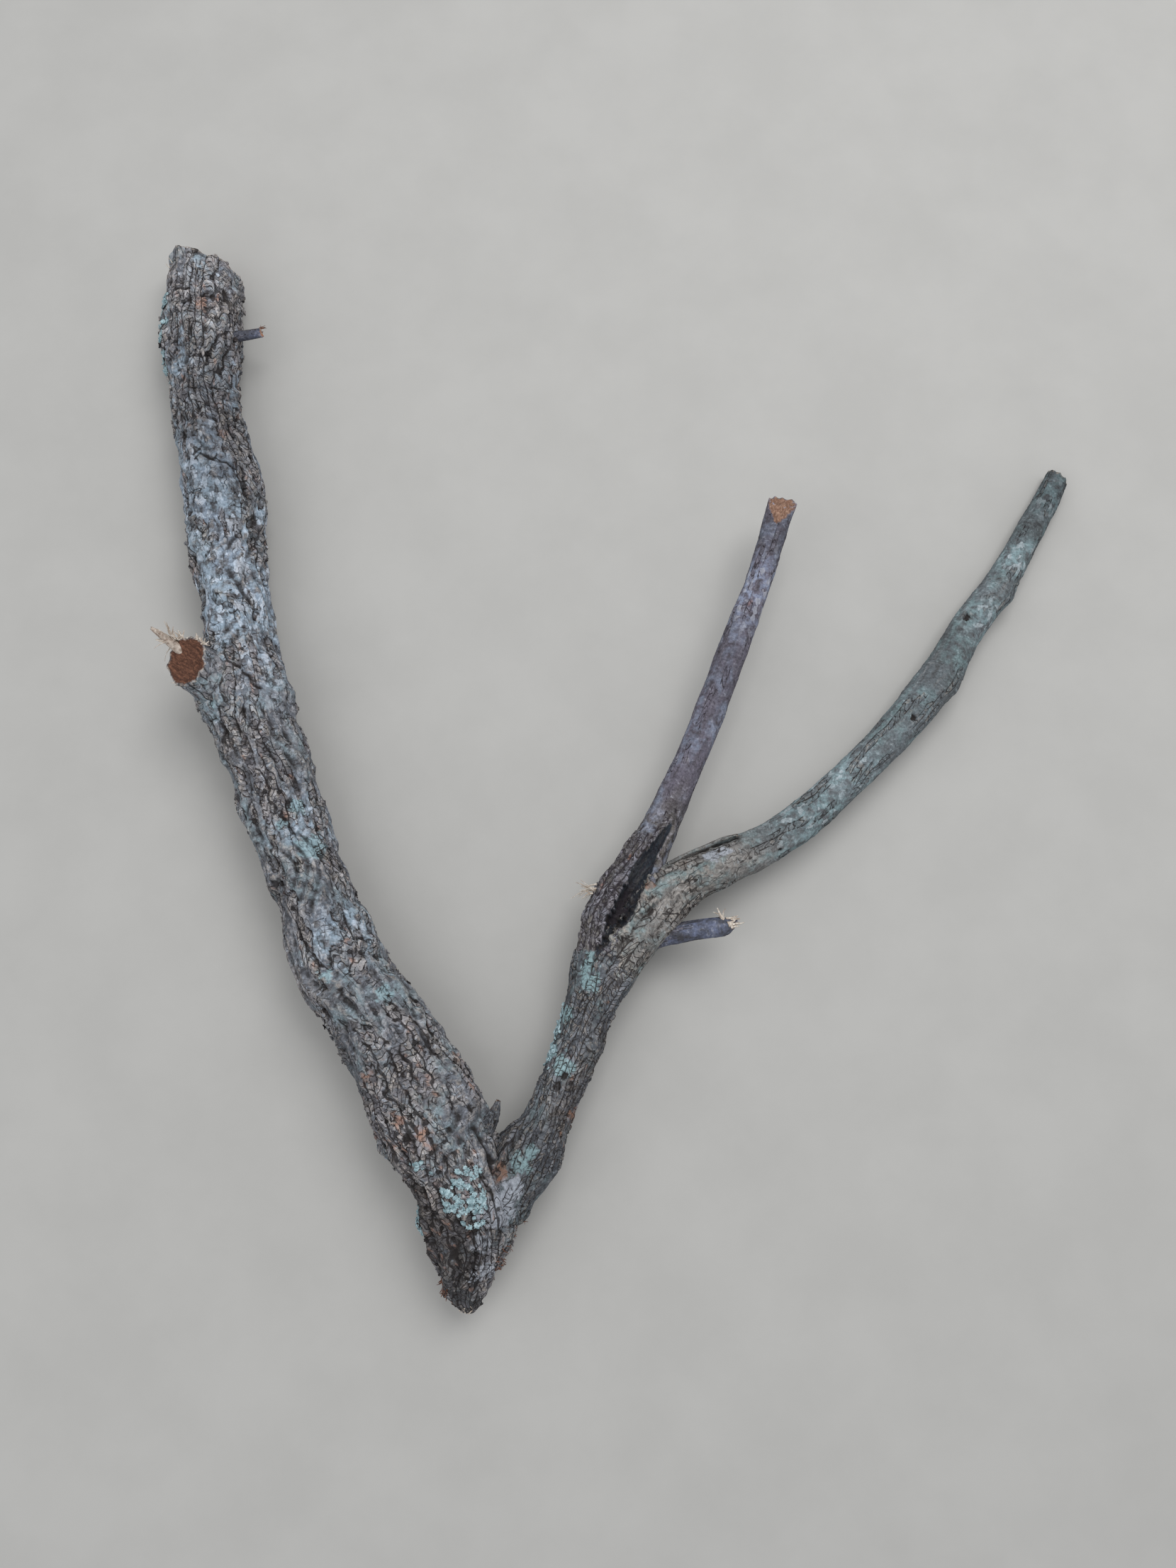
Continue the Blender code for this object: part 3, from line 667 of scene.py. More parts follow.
@dataclass(frozen=True)
class BarkPattern:
    """The bark that a limb grows: rows of small plates, wrinkled bands, cracks and lichen film."""

    seed: int
    rows: int
    plate_length: float
    plate_rise: float
    ladder_length: float
    band_width: float
    band_length: float
    rough_share: float
    crack_depth: float
    wrinkle_rise: float
    wrinkle_size: float
    film_share: float
    rust_share: float
    # The limb's bark is old up to the first of these distances and young from the second.
    old_until: tuple[float, float] = (900.0, 901.0)
    old_rise: float = 1.0
    young_cracks: float = 0.1
    pit_depth: float = 1.6
    # Wide stretches where the lichen film is thicker and bluer.
    cool_zones: tuple[Spot, ...] = ()
    # Wide stretches that are paler, or darker where the last number is negative.
    tone_zones: tuple[tuple[float, float, float, float, float], ...] = ()
    # Ragged patches of pale crust, lichen crust, rust, knot holes, plates, no plates, and dark bark
    # with painted shade.
    pale_spots: tuple[Spot, ...] = ()
    film_spots: tuple[Spot, ...] = ()
    rust_spots: tuple[Spot, ...] = ()
    pit_spots: tuple[Spot, ...] = ()
    rough_spots: tuple[Spot, ...] = ()
    smooth_spots: tuple[Spot, ...] = ()
    dark_and_shade_spots: tuple[Spot, ...] = ()
    leafy_spots: tuple[Spot, ...] = ()
    # Furrows seen from above: a line, its half width and its depth.
    grooves: tuple[Groove, ...] = ()

    def grow(self, skin: Skin) -> None:
        """Raise the bark on a skin and note where its kinds of surface are.

        Args:
            skin: the surface, which is changed.
        """
        grain = Grain(self.seed)
        around = skin.around
        covered = 1 - skin.bare
        band = grain.layered(around / (self.band_width, self.band_width, self.band_length), 2)
        old = 1 - smooth_rise(*self.old_until, skin.distance + 12 * band)
        masks, rough = {"old": old}, self.roughness(skin, grain, band)
        rise = self.plates(skin, grain, rough, masks)
        rise *= 1 + (self.old_rise - 1) * old
        self.crack(around, grain, rough, np.maximum(old, self.young_cracks), rise, masks)
        size = self.wrinkle_size
        bent = around + 1.6 * np.stack([grain.smooth(around / 6 + 40 * i) for i in (1, 2, 3)], -1)
        rise += self.wrinkle_rise * grain.layered(bent / (size * 1.7, size * 1.7, size * 0.8), 3)
        self.dent(skin, rise, masks)
        skin.push(rise * covered * np.minimum(1, skin.radius / 5))
        self.stain_and_shade(skin, grain, band, rough, masks)
        masks["rough"] = rough
        stains = ("film", "crust", "rust", "pale", "leafy")
        for key in ("rough", "lip", "pit", "seamed", "crossed", *stains):
            masks[key] = masks[key] * covered
        masks["cool"] = masks["cool"] * covered * (1 - 0.75 * rough)
        skin.masks |= masks

    def brick_lie(self, skin: Skin, grain: Grain) -> Array:
        """Lay out rows of plates lengthwise, wavering and staggered.

        Args:
            skin: the surface.
            grain: the noise to use.

        Returns:
            For each point how many plates along and how many rows round it is.
        """
        around = skin.around
        from_below = np.mod(skin.angle + math.pi / 2, TAU)
        waver = 0.5 * grain.smooth(around / (24, 24, 55))
        waver += 0.09 * grain.smooth(around / (4, 4, 8) + 9)
        lane = (from_below + waver) / TAU * self.rows
        slide = 1.8 * grain.smooth(around / (3.6, 3.6, 40) + 22)
        slide += 0.35 * grain.smooth(around / 4 + 3)
        return np.stack([skin.distance / self.plate_length + slide, lane], -1)

    def roughness(self, skin: Skin, grain: Grain, band: Array) -> Array:
        """Choose where each row carries a ladder of plates.

        Args:
            skin: the surface.
            grain: the noise to use.
            band: the broad bands of noise.

        Returns:
            0 on smooth bark to 1 on plates.
        """
        row = np.floor(self.brick_lie(skin, grain)[..., 1])
        run = np.stack([row * 5.37, row * 0 + 0.5, skin.distance / self.ladder_length], -1)
        rough = smooth_rise(-0.06, 0.06, grain.smooth(run) + 0.35 * band + self.rough_share)
        rough = np.maximum(rough, near_spots(skin.places, self.rough_spots, 0.3, self.seed + 1))
        return rough * (1 - near_spots(skin.places, self.smooth_spots, 0.3, self.seed + 5))

    def plates(self, skin: Skin, grain: Grain, rough: Array, masks: Masks) -> Array:
        """Raise each plate to a height of its own, over broad swells.

        Args:
            skin: the surface.
            grain: the noise to use.
            rough: where the plates are.
            masks: what is known at each point, which gains the plates' lie.

        Returns:
            The rise.
        """
        bricks = self.brick_lie(skin, grain)
        row = np.floor(bricks[..., 1])
        share = bricks[..., 0] + 0.5 * np.mod(row, 2)
        column = np.floor(share)
        number = grain.number(np.stack([row, column, row * 0], -1), 8)
        round_gap = np.minimum(bricks[..., 1] - row, row + 1 - bricks[..., 1])
        along_gap = np.minimum(share - column, column + 1 - share)
        step = smooth_rise(0.02, 0.22, np.minimum(round_gap, along_gap * 1.2))
        swell = grain.layered(skin.around / (7, 7, 16) + 51, 2)
        rise = rough * self.plate_rise * (1.2 * (number - 0.5) * step + 0.7 * (step - 1))
        rise += 0.6 * self.plate_rise * swell
        masks |= {"plate_x": bricks[..., 0], "plate_y": bricks[..., 1]}
        return rise

    def crack(
        self, around: Array, grain: Grain, rough: Array, worn: Array, rise: Array, masks: Masks
    ) -> None:
        """Cut long cracks with raised lips and short cross cracks.

        Args:
            around: the places on the limb as if it were straight.
            grain: the noise to use.
            rough: where the plates are.
            worn: where the bark is old enough to crack.
            rise: the bark's rise, which is changed.
            masks: what is known at each point, which gains the cracks.
        """
        seam = grain.smooth(around / (4.6, 4.6, 22.0)) + 0.35 * grain.smooth(around / 3.0)
        broken = smooth_rise(0.0, 0.4, grain.smooth(around / (9, 9, 14) + 80)) * worn
        crack = np.exp(-((seam / 0.13) ** 2)) * broken
        cross = grain.smooth(around / (11, 11, 4.0) + 33) + 0.25 * grain.smooth(around / 2.5)
        few = smooth_rise(0.2, 0.45, grain.smooth(around / (8, 8, 12) + 61)) * worn
        split = np.exp(-((cross / 0.1) ** 2)) * few
        rise -= self.crack_depth * (crack * (0.3 + 0.7 * rough) + 0.8 * split)
        # Raised lips along the cracks, which the bark paints with a pale highlight.
        lip = np.exp(-(((np.abs(seam) - 0.28) / 0.09) ** 2)) * broken
        rise += 0.5 * self.crack_depth * lip
        masks |= {"seam": seam, "seamed": broken, "cross": cross, "crossed": few, "lip": lip}

    def dent(self, skin: Skin, rise: Array, masks: Masks) -> None:
        """Sink the knot holes and the grooves.

        Args:
            skin: the surface.
            rise: the bark's rise, which is changed.
            masks: what is known at each point, which gains the holes.
        """
        pit = near_spots(skin.places, self.pit_spots, 0.35, self.seed + 2)
        rise -= self.pit_depth * pit
        upward = smooth_rise(-0.1, 0.3, skin.outward[..., 2])
        for line, half_width, depth in self.grooves:
            gap = near_line(skin.places + 1.2 * bent_by(skin.places), line) / half_width
            cut = np.exp(-(gap**2)) * upward
            rise -= depth * cut
            pit = np.maximum(pit, cut)
        # Knot holes and grooves, which the bark darkens with their own dark and painted shade.
        masks["pit"] = pit

    def stain_and_shade(self, skin: Skin, grain: Grain, band: Array, rough: Array, masks: Masks) -> None:
        """Note where film, crust, rust, leafy lichen and dark patches of bark and painted shade
        lie, and how pale each stretch is.

        Args:
            skin: the surface.
            grain: the noise to use.
            band: the broad bands of noise.
            rough: where the plates are.
            masks: what is known at each point, which gains the stains.
        """
        places, around = skin.places, skin.around
        film = grain.layered(around / (13, 13, 24) + 5, 3) + self.film_share
        cool, tone = np.zeros_like(film), np.zeros_like(film)
        for *centre, reach in self.cool_zones:
            cool = np.maximum(cool, nearness(places, centre, reach))
        for *centre, reach, amount in self.tone_zones:
            tone += amount * nearness(places, centre, reach)
        film = smooth_rise(-0.15, 0.4, film + 0.4 * cool) * (1 - 0.6 * rough)
        # The film thins where the surface turns downwards, so the undersides stay darker: partly
        # the film's own spread, partly painted shade.
        film *= smooth_rise(-0.4, 0.35, skin.outward[..., 2] + 0.3 * band)
        rust = grain.layered(around / (3, 3, 7) + 71, 2) + self.rust_share
        rust = smooth_rise(0.5, 0.75, rust) * rough
        rusty = near_spots(places, self.rust_spots, 0.45, self.seed + 4)
        leafy = near_spots(places, self.leafy_spots, 0.45, self.seed + 7)
        leafy *= smooth_rise(-0.2, 0.1, grain.layered(places / 3.4 + 14, 2))
        masks |= {
            "film": film,
            "crust": near_spots(places, self.film_spots, 0.4, self.seed + 3),
            "rust": np.maximum(0.8 * rust, rusty),
            "cool": cool,
            "tone": tone,
            "pale": near_spots(places, self.pale_spots, 0.3, self.seed + 8),
            # Dark bark with painted shade on the butt's lower-left flank.
            "dark": near_spots(places, self.dark_and_shade_spots, 0.25, self.seed + 6),
            "leafy": leafy,
        }


def note_creases(skin: Skin) -> None:
    """Note where the surface lies below or above its surroundings, for painted shade and highlight,
    and its end's torn rim.

    Args:
        skin: the surface, whose masks are changed.
    """
    # How far each point stands above or sinks below its blurred surroundings: the bark paints shade
    # into the low places and a highlight on the high ones.
    for name, reach, full in (("near", 2, 0.7), ("wide", 6, 1.6)):
        stands = skin.height - blurred(skin.height, reach)
        skin.masks[name] = np.clip(stands / full, -1, 1)
    for name in ("hollow", "deep", "rubble"):
        skin.masks.setdefault(name, np.zeros_like(skin.height))
    last = skin.bark_end
    torn = 0.5 + 0.8 * Grain(61).smooth(skin.places / 1.5)
    rim = np.exp(-(((skin.distance - last) / RIM_WIDTH) ** 2))
    skin.masks["rim"] = rim * torn * (skin.distance > last - 4)


@dataclass(frozen=True)
class PeeledTip:
    """Bark that has split off in a V on top of a broken end."""

    length: float
    half_width: float
    depth: float

    def open_in(self, skin: Skin) -> None:
        """Lower the surface to the bare wood and mark it as such.

        Args:
            skin: the surface, which is changed.
        """
        left = (skin.bark_end - skin.distance) / self.length
        left = left + 0.12 * Grain(91).smooth(skin.places / 2.0)
        across = np.abs(skin.around[..., 0]) / self.half_width
        peeled = smooth_rise(0.05, -0.05, left + across - 1.0) * (np.sin(skin.angle) > 0)
        skin.push(-self.depth * peeled)
        skin.bare = np.maximum(skin.bare, peeled)


def melt_into(skin: Skin, other: Limb, reach: float) -> None:
    """Swell a surface where it meets another limb, so that the two run into each other."""
    near = np.clip(1 - np.abs(other.gap_from(skin.places)) / reach, 0, 1)
    skin.push(reach / 4 * near * near * (1 - skin.bare))


@dataclass(frozen=True)
class RottenSplit:
    """The long dark hollow that decay has opened on top of the upper fork."""

    stations: tuple[Station, ...]
    # Crumbs lie below the first of these places up the photo, bridges of wood below the second.
    crumbs_below: float = 62.0
    bridges_below: float = 50.0
    fade: float = 10.0

    def open_in(self, skin: Skin) -> None:
        """Sink a surface to the hollow's floor and note how deep it went.

        Args:
            skin: the surface, which is changed.
        """
        trough = Limb("trough", self.stations, 8, 1.0, CoarseBark(0, 1, 1)).rings(1.0)
        best = np.full(skin.angle.shape, 9.0)
        floor = np.full(skin.angle.shape, FAR)
        for _, x, y, z, half_width, half_height in trough:
            share = np.hypot(skin.places[..., 0] - x, skin.places[..., 1] - y) / half_width
            nearer = share < best
            best = np.where(nearer, share, best)
            deep = z - half_height * np.sqrt(np.clip(1 - share * share, 0, 1))
            floor = np.where(nearer, deep, floor)
        grain, up = Grain(77), skin.places[..., 1]
        ragged = 1.1 * best + 0.4 * grain.layered(skin.places / 6.0, 4)
        ragged += 0.3 * grain.layered(skin.places / 2.6 + 31, 2)
        bridged = smooth_rise(0.15, 0.45, grain.smooth(skin.places / 4.5 + 21))
        ragged += 0.7 * bridged * smooth_rise(self.bridges_below, self.bridges_below - 8.0, up)
        upward = smooth_rise(24.0, 32.0, skin.places[..., 2])
        lip = np.exp(-(((ragged - 1.45) / 0.42) ** 2)) * upward
        knobs = 1.9 + 2.4 * grain.smooth(skin.places / 9.0 + 5)
        knobs += 0.5 * grain.smooth(skin.places / 2.6)
        skin.push(lip * knobs)
        inside = smooth_rise(1.06, 0.84, ragged)
        rubble = np.maximum(0.0, grain.layered(skin.places / 3.0 + 8, 2))
        up = skin.places[..., 1]
        rubble = rubble * smooth_rise(self.crumbs_below, self.crumbs_below - self.fade, up)
        grained = 0.5 * grain.smooth(skin.around / (1.2, 1.2, 12.0)) + 3.0 * rubble
        sunk = np.minimum(skin.places[..., 2], floor + grained)
        drop = (skin.places[..., 2] - sunk) * inside
        skin.places = skin.places - drop[..., None] * np.array((0.0, 0.0, 1.0))
        skin.height = skin.height - 0.25 * drop
        skin.masks["hollow"] = smooth_rise(0.3, 2.0, drop)
        skin.masks["rubble"] = smooth_rise(0.05, 0.4, rubble) * skin.masks["hollow"]
        # The deepest part of the hollow, which the bark paints as shade.
        low = drop + 2.0 * grain.layered(skin.places / 5.0, 2) - 3.0 * rubble
        skin.masks["deep"] = smooth_rise(8.0, 12.0, low)



def new_material(
    name: str, roughness: float, shine: float
) -> tuple[bpy.types.Material, bpy.types.Node]:
    """Start a matt material.

    Args:
        name: the material's name.
        roughness: the roughness of its surface.
        shine: how much it reflects when seen straight on.

    Returns:
        The material and its shader.
    """
    material = bpy.data.materials.new(name)
    material.use_nodes = True
    shader = material.node_tree.nodes["Principled BSDF"]
    shader.inputs["Roughness"].default_value = roughness
    shader.inputs["Specular IOR Level"].default_value = shine
    return material, shader


@dataclass(frozen=True)
class Layer:
    """One colour over the ones before it: which mask brings it, and which one breaks it up."""

    tint: str
    mask: str
    low: float
    high: float
    share: float = 1.0
    broken_by: str = ""
    broken_low: float = 0.3
    broken_high: float = 0.6

    def lay_over(self, tree: bpy.types.NodeTree, colour: Any, found: dict[str, Any]) -> Any:
        """Lay the colour over what is there.

        Args:
            tree: the material's nodes.
            colour: the colour so far.
            found: the masks and noises by name.

        Returns:
            The new colour.
        """
        links = {"Value": found[self.mask], "From Min": self.low, "From Max": self.high}
        links["To Max"] = self.share
        amount = add_node(tree, "ShaderNodeMapRange", links).outputs[0]
        if self.broken_by:
            links = {"Value": found[self.broken_by], "From Min": self.broken_low}
            links["From Max"] = self.broken_high
            patch = add_node(tree, "ShaderNodeMapRange", links).outputs[0]
            links = {0: amount, 1: patch}
            amount = add_node(tree, "ShaderNodeMath", links, operation="MULTIPLY").outputs[0]
        links = {0: amount, 6: colour, 7: linear(self.tint)}
        return add_node(tree, "ShaderNodeMix", links, data_type="RGBA").outputs[2]


@dataclass(frozen=True)
class BarkFinish:
    """Weathered bark: dry, matt and open-pored, so that it only ever shows soft broken light."""

    name: str
    plate: str
    plate_dark: str
    plate_pale: str
    smooth: str
    young: str
    film: str
    crust: str
    # The pale of torn bark at a broken end's rim, also laid as painted highlight on crack lips,
    # scale edges and high points.
    lip: str
    # The dark of the cracks, also laid as painted shade in creases, wrinkle troughs, under scale
    # edges and deep in the hollow.
    fissure_and_shade: str
    rust: str
    wood: str
    wood_dark: str
    # Pale blue-white flecks of lichen, also laid as painted highlight on the crests of fine
    # wrinkles.
    fleck_and_highlight: str
    cool: str
    rotten: str = "343A42"
    earth: str = "55493F"
    pale: str = "A2A7B0"
    cool_share: float = 0.6
    crust_share: float = 0.75
    film_share: float = 0.75
    roughness: float = 0.9
    shine: float = 0.25
    # The real sizes of dust, blotches, clouds, chips, wrinkles and scales, and of the relief.
    grain_mm: float = 1.3
    blotch_mm: float = 5.0
    cloud_mm: float = 30.0
    chip_mm: float = 2.4
    wrinkle_mm: float = 1.5
    ledge_mm: float = 9.0
    ledges: float = 5.0
    relief_mm: float = 0.8
    # How far the fine shade swings either side of 1.
    shade_swing: float = 0.4

    def layers(self) -> tuple[Layer, ...]:
        """The colours of the bark, with painted shade and highlight among them, from the plates up
        to the broken and the rotten wood.
        """
        return (
            Layer(self.plate_dark, "brick", 0.0, 0.7, 0.7),
            Layer(self.plate_pale, "brick", 0.6, 0.95, 0.85),
            Layer(self.smooth, "rough", 1.0, 0.0, 0.8),
            Layer(self.earth, "broad", 0.47, 0.34, 0.6, "mid", 0.35, 0.5),
            Layer(self.plate_pale, "chip", 0.66, 0.8, 0.5, "mid", 0.36, 0.56),
            Layer(self.plate_dark, "chip", 0.36, 0.22, 0.5, "old", 0.0, 1.0),
            Layer(self.young, "old", 1.0, 0.0, 0.9),
            Layer(self.plate_dark, "strand", 0.5, 0.68, 0.6),
            Layer(self.plate_pale, "strand", 0.42, 0.25, 0.5),
            Layer(self.plate_dark, "broad", 0.45, 0.66, 0.55),
            # Dark in the fine wrinkles' troughs, which the bump sinks: the wrinkles' own dark with
            # painted shade.
            Layer(self.fissure_and_shade, "wrinkle", 0.44, 0.31, 0.55),
            Layer(self.plate_dark, "mid", 0.42, 0.26, 0.6),
            Layer(self.plate_pale, "mid", 0.6, 0.76, 0.5, "wrinkle", 0.42, 0.6),
            Layer(self.film, "film", 0.0, 1.0, self.film_share, "mid", 0.4, 0.6),
            Layer(self.film, "broad", 0.56, 0.72, 0.4, "wrinkle", 0.38, 0.6),
            Layer(self.cool, "cool", 0.05, 0.7, self.cool_share, "mid", 0.42, 0.6),
            Layer(self.fleck_and_highlight, "cool", 0.1, 0.7, 0.75, "chip", 0.78, 0.88),
            # Pale flecks on the crests that the bump raises: painted highlight.
            Layer(self.fleck_and_highlight, "wrinkle", 0.55, 0.67, 0.55, "mid", 0.42, 0.6),
            # Painted highlight on the raised lips along the cracks.
            Layer(self.lip, "lip", 0.2, 1.0, 0.4, "fine", 0.35, 0.6),
            # Painted highlight along the upper edge of each scale.
            Layer(self.lip, "ledge", 0.8, 1.0, 0.4, "rough", 0.0, 1.0),
            # Painted highlight on points that stand above their surroundings.
            Layer(self.lip, "near", 0.3, 1.0, 0.4, "fine", 0.35, 0.65),
            # Dark bark and painted shade where the dark patches lie.
            Layer(self.fissure_and_shade, "dark", 0.0, 1.0, 0.7, "mid", 0.2, 0.5),
            Layer(self.crust, "crust", 0.0, 1.0, self.crust_share, "fine", 0.25, 0.45),
            Layer(self.pale, "pale", 0.0, 1.0, 0.8, "mid", 0.3, 0.42),
            Layer(self.rust, "rust", 0.0, 1.0, 0.85, "mid", 0.35, 0.6),
            # Painted shade at the foot of each scale, where the next one overlaps it.
            Layer(self.fissure_and_shade, "ledge", 0.14, 0.02, 0.75, "old", 0.2, 0.8),
            Layer(self.fissure_and_shade, "mortar", 0.3, 1.0, 0.85, "cracked", 0.1, 0.7),
            Layer(self.fissure_and_shade, "seam", 0.09, 0.02, 0.9, "seamed", 0.3, 0.8),
            Layer(self.fissure_and_shade, "cross", 0.08, 0.02, 0.9, "crossed", 0.3, 0.8),
            # Painted shade in places that sink below their surroundings, finely and broadly.
            Layer(self.fissure_and_shade, "near", -0.3, -1.0, 0.8),
            Layer(self.fissure_and_shade, "wide", -0.4, -1.0, 0.4),
            # Knot holes and grooves: their own dark, deepened with painted shade.
            Layer(self.fissure_and_shade, "pit", 0.1, 0.9, 0.75),
            Layer(self.wood_dark, "bare", 0.0, 1.0),
            Layer(self.wood, "bare", 0.0, 1.0, 0.8, "face", 0.42, 0.66),
            Layer(self.lip, "rim", 0.3, 0.7, 0.85),
            Layer(self.rotten, "hollow", 0.0, 0.6),
            Layer(self.plate, "hollow", 0.3, 1.0, 0.45, "strand", 0.5, 0.3),
            Layer(self.fissure_and_shade, "hollow", 0.3, 1.0, 0.8, "streak", 0.42, 0.66),
            Layer(self.plate_dark, "rubble", 0.1, 0.7, 0.9),
            # Painted shade deep in the hollow.
            Layer(self.fissure_and_shade, "deep", 0.0, 1.0, 0.95),
        )

    def stretched(self, tree: bpy.types.NodeTree) -> dict[str, Any]:
        """Stretch the place on the bark for the patterns that follow the grain.

        Args:
            tree: the material's nodes.

        Returns:
            The socket of each pattern's own coordinates by its name.
        """
        lie = add_node(tree, "ShaderNodeAttribute", attribute_name="lie").outputs["Vector"]
        links = {"Vector": lie, "Scale": 0.35, "Detail": 2.0}
        swirl = add_node(tree, "ShaderNodeTexNoise", links).outputs[1]
        links = {0: swirl, 1: (2.4, 2.4, 2.4), 2: lie}
        bent = add_node(tree, "ShaderNodeVectorMath", links, operation="MULTIPLY_ADD").outputs[0]
        chip, wrinkle, ledge = 1 / self.chip_mm, 1 / self.wrinkle_mm, 1 / self.ledge_mm
        # Each row is how many units a millimetre is across the limb, up it and along it.
        ways = {
            "chip": (chip, chip, 0.7 / self.chip_mm),
            "wrinkle": (0.42 / self.wrinkle_mm, 0.42 / self.wrinkle_mm, wrinkle),
            "streak": (1.1, 1.1, 0.14),
            "face": (1.0, 0.12, 0.4),
            "strand": (0.42, 0.42, 0.055),
            "terrace": (ledge, ledge, 0.4 / self.ledge_mm),
        }
        found = {}
        for key, way in ways.items():
            links = {0: bent, 1: way}
            node = add_node(tree, "ShaderNodeVectorMath", links, operation="MULTIPLY")
            found[key] = node.outputs[0]
        return found

    def patterns(self, tree: bpy.types.NodeTree) -> dict[str, Any]:
        """Draw the noises and the cells that the layers use.

        Args:
            tree: the material's nodes.

        Returns:
            Each pattern's socket by its name.
        """
        place = add_node(tree, "ShaderNodeTexCoord").outputs["Object"]
        found: dict[str, Any] = {}
        ways = self.stretched(tree)
        for key, source, scale, detail in (
            ("fine", place, 1000 / self.grain_mm, 4.0),
            ("mid", place, 1000 / self.blotch_mm, 5.0),
            ("broad", place, 1000 / self.cloud_mm, 4.0),
            ("streak", ways["streak"], 1.0, 3.0),
            ("face", ways["face"], 1.0, 3.0),
            ("strand", ways["strand"], 1.0, 4.0),
            ("wrinkle", ways["wrinkle"], 1.0, 3.0),
            ("terrace", ways["terrace"], 1.0, 2.0),
        ):
            links = {"Vector": source, "Scale": scale, "Detail": detail, "Roughness": 0.6}
            found[key] = add_node(tree, "ShaderNodeTexNoise", links).outputs[0]
        # The terraces of a noise's height are the thin overlapping scales of dry bark.
        links = {0: found["terrace"], 1: self.ledges}
        high = add_node(tree, "ShaderNodeMath", links, operation="MULTIPLY").outputs[0]
        found["ledge"] = add_node(tree, "ShaderNodeMath", {0: high}, operation="FRACT").outputs[0]
        links = {"Vector": ways["chip"], "Scale": 1.0}
        cell = add_node(tree, "ShaderNodeTexVoronoi", links).outputs["Color"]
        found["chip"] = add_node(tree, "ShaderNodeSeparateColor", {0: cell}).outputs[0]
        names = {name for layer in self.layers() for name in (layer.mask, layer.broken_by) if name}
        made_below = {"brick", "mortar", "cracked"}
        for key in sorted((names | {"plate_x", "plate_y", "tone"}) - set(found) - made_below):
            found[key] = add_node(tree, "ShaderNodeAttribute", attribute_name=key).outputs["Fac"]
        for key in ("seam", "cross"):
            links = {0: found[key]}
            found[key] = add_node(tree, "ShaderNodeMath", links, operation="ABSOLUTE").outputs[0]
        links = {0: found["plate_x"], 1: found["plate_y"]}
        rows = add_node(tree, "ShaderNodeCombineXYZ", links).outputs[0]
        links = {"Vector": rows, "Scale": 1.0, "Brick Width": 1.0, "Row Height": 1.0}
        links |= {"Color1": (0, 0, 0, 1), "Color2": (1, 1, 1, 1), "Mortar": (0.5, 0.5, 0.5, 1)}
        links |= {"Mortar Size": 0.11, "Mortar Smooth": 0.5}
        bricks = add_node(tree, "ShaderNodeTexBrick", links, offset=0.5)
        shades = add_node(tree, "ShaderNodeSeparateColor", {0: bricks.outputs[0]})
        found["brick"], found["mortar"] = shades.outputs[0], bricks.outputs[1]
        links = {"Value": found["mid"], "From Min": 0.32, "From Max": 0.44}
        patch = add_node(tree, "ShaderNodeMapRange", links).outputs[0]
        links = {0: patch, 1: found["rough"]}
        found["cracked"] = add_node(tree, "ShaderNodeMath", links, operation="MULTIPLY").outputs[0]
        return found

    def make(self) -> bpy.types.Material:
        """Build the material from the masks that the limb carries.

        Returns:
            The material.
        """
        material, shader = new_material(self.name, self.roughness, self.shine)
        tree = material.node_tree
        found = self.patterns(tree)
        colour: Any = linear(self.plate)
        for layer in self.layers():
            colour = layer.lay_over(tree, colour, found)
        links = {"Value": found["fine"], "From Min": 0.25, "From Max": 0.75}
        links |= {"To Min": 1 - self.shade_swing, "To Max": 1 + self.shade_swing}
        shade = add_node(tree, "ShaderNodeMapRange", links).outputs[0]
        links = {0: found["tone"], 1: shade, 2: shade}
        shade = add_node(tree, "ShaderNodeMath", links, operation="MULTIPLY_ADD").outputs[0]
        links = {0: colour, "Scale": shade}
        colour = add_node(tree, "ShaderNodeVectorMath", links, operation="SCALE").outputs[0]
        tree.links.new(colour, shader.inputs["Base Color"])
        links = {0: found["mortar"], 1: found["cracked"]}
        dips = add_node(tree, "ShaderNodeMath", links, operation="MULTIPLY").outputs[0]
        relief, links = self.relief_mm * MM, {}
        for height, strength, distance in (
            (found["fine"], 0.5, 0.7 * relief),
            (found["wrinkle"], 0.6, relief),
            (found["chip"], 0.4, 0.6 * relief),
            (found["ledge"], 0.5, relief),
            (dips, 0.6, -relief),
        ):
            links |= {"Strength": strength, "Distance": distance, "Height": height}
            links["Normal"] = add_node(tree, "ShaderNodeBump", links).outputs[0]
        tree.links.new(links["Normal"], shader.inputs["Normal"])
        return material


@dataclass(frozen=True)
class PlainFinish:
    """A dry natural stuff in two tones, such as lichen or torn fibre."""

    name: str
    light: str
    dark: str
    patch_mm: float
    roughness: float = 0.9
    shine: float = 0.2
    relief_mm: float = 0.3

    def make(self) -> bpy.types.Material:
        """Build the material.

        Returns:
            The material.
        """
        material, shader = new_material(self.name, self.roughness, self.shine)
        tree = material.node_tree
        place = add_node(tree, "ShaderNodeTexCoord").outputs["Object"]
        links = {"Vector": place, "Scale": 1000 / self.patch_mm, "Detail": 4.0, "Roughness": 0.6}
        cloud = add_node(tree, "ShaderNodeTexNoise", links).outputs[0]
        links = {"Value": cloud, "From Min": 0.36, "From Max": 0.64}
        share = add_node(tree, "ShaderNodeMapRange", links).outputs[0]
        links = {0: share, 6: linear(self.dark), 7: linear(self.light)}
        colour = add_node(tree, "ShaderNodeMix", links, data_type="RGBA").outputs[2]
        tree.links.new(colour, shader.inputs["Base Color"])
        links = {"Strength": 0.4, "Distance": self.relief_mm * MM, "Height": cloud}
        bump = add_node(tree, "ShaderNodeBump", links).outputs[0]
        tree.links.new(bump, shader.inputs["Normal"])
        return material


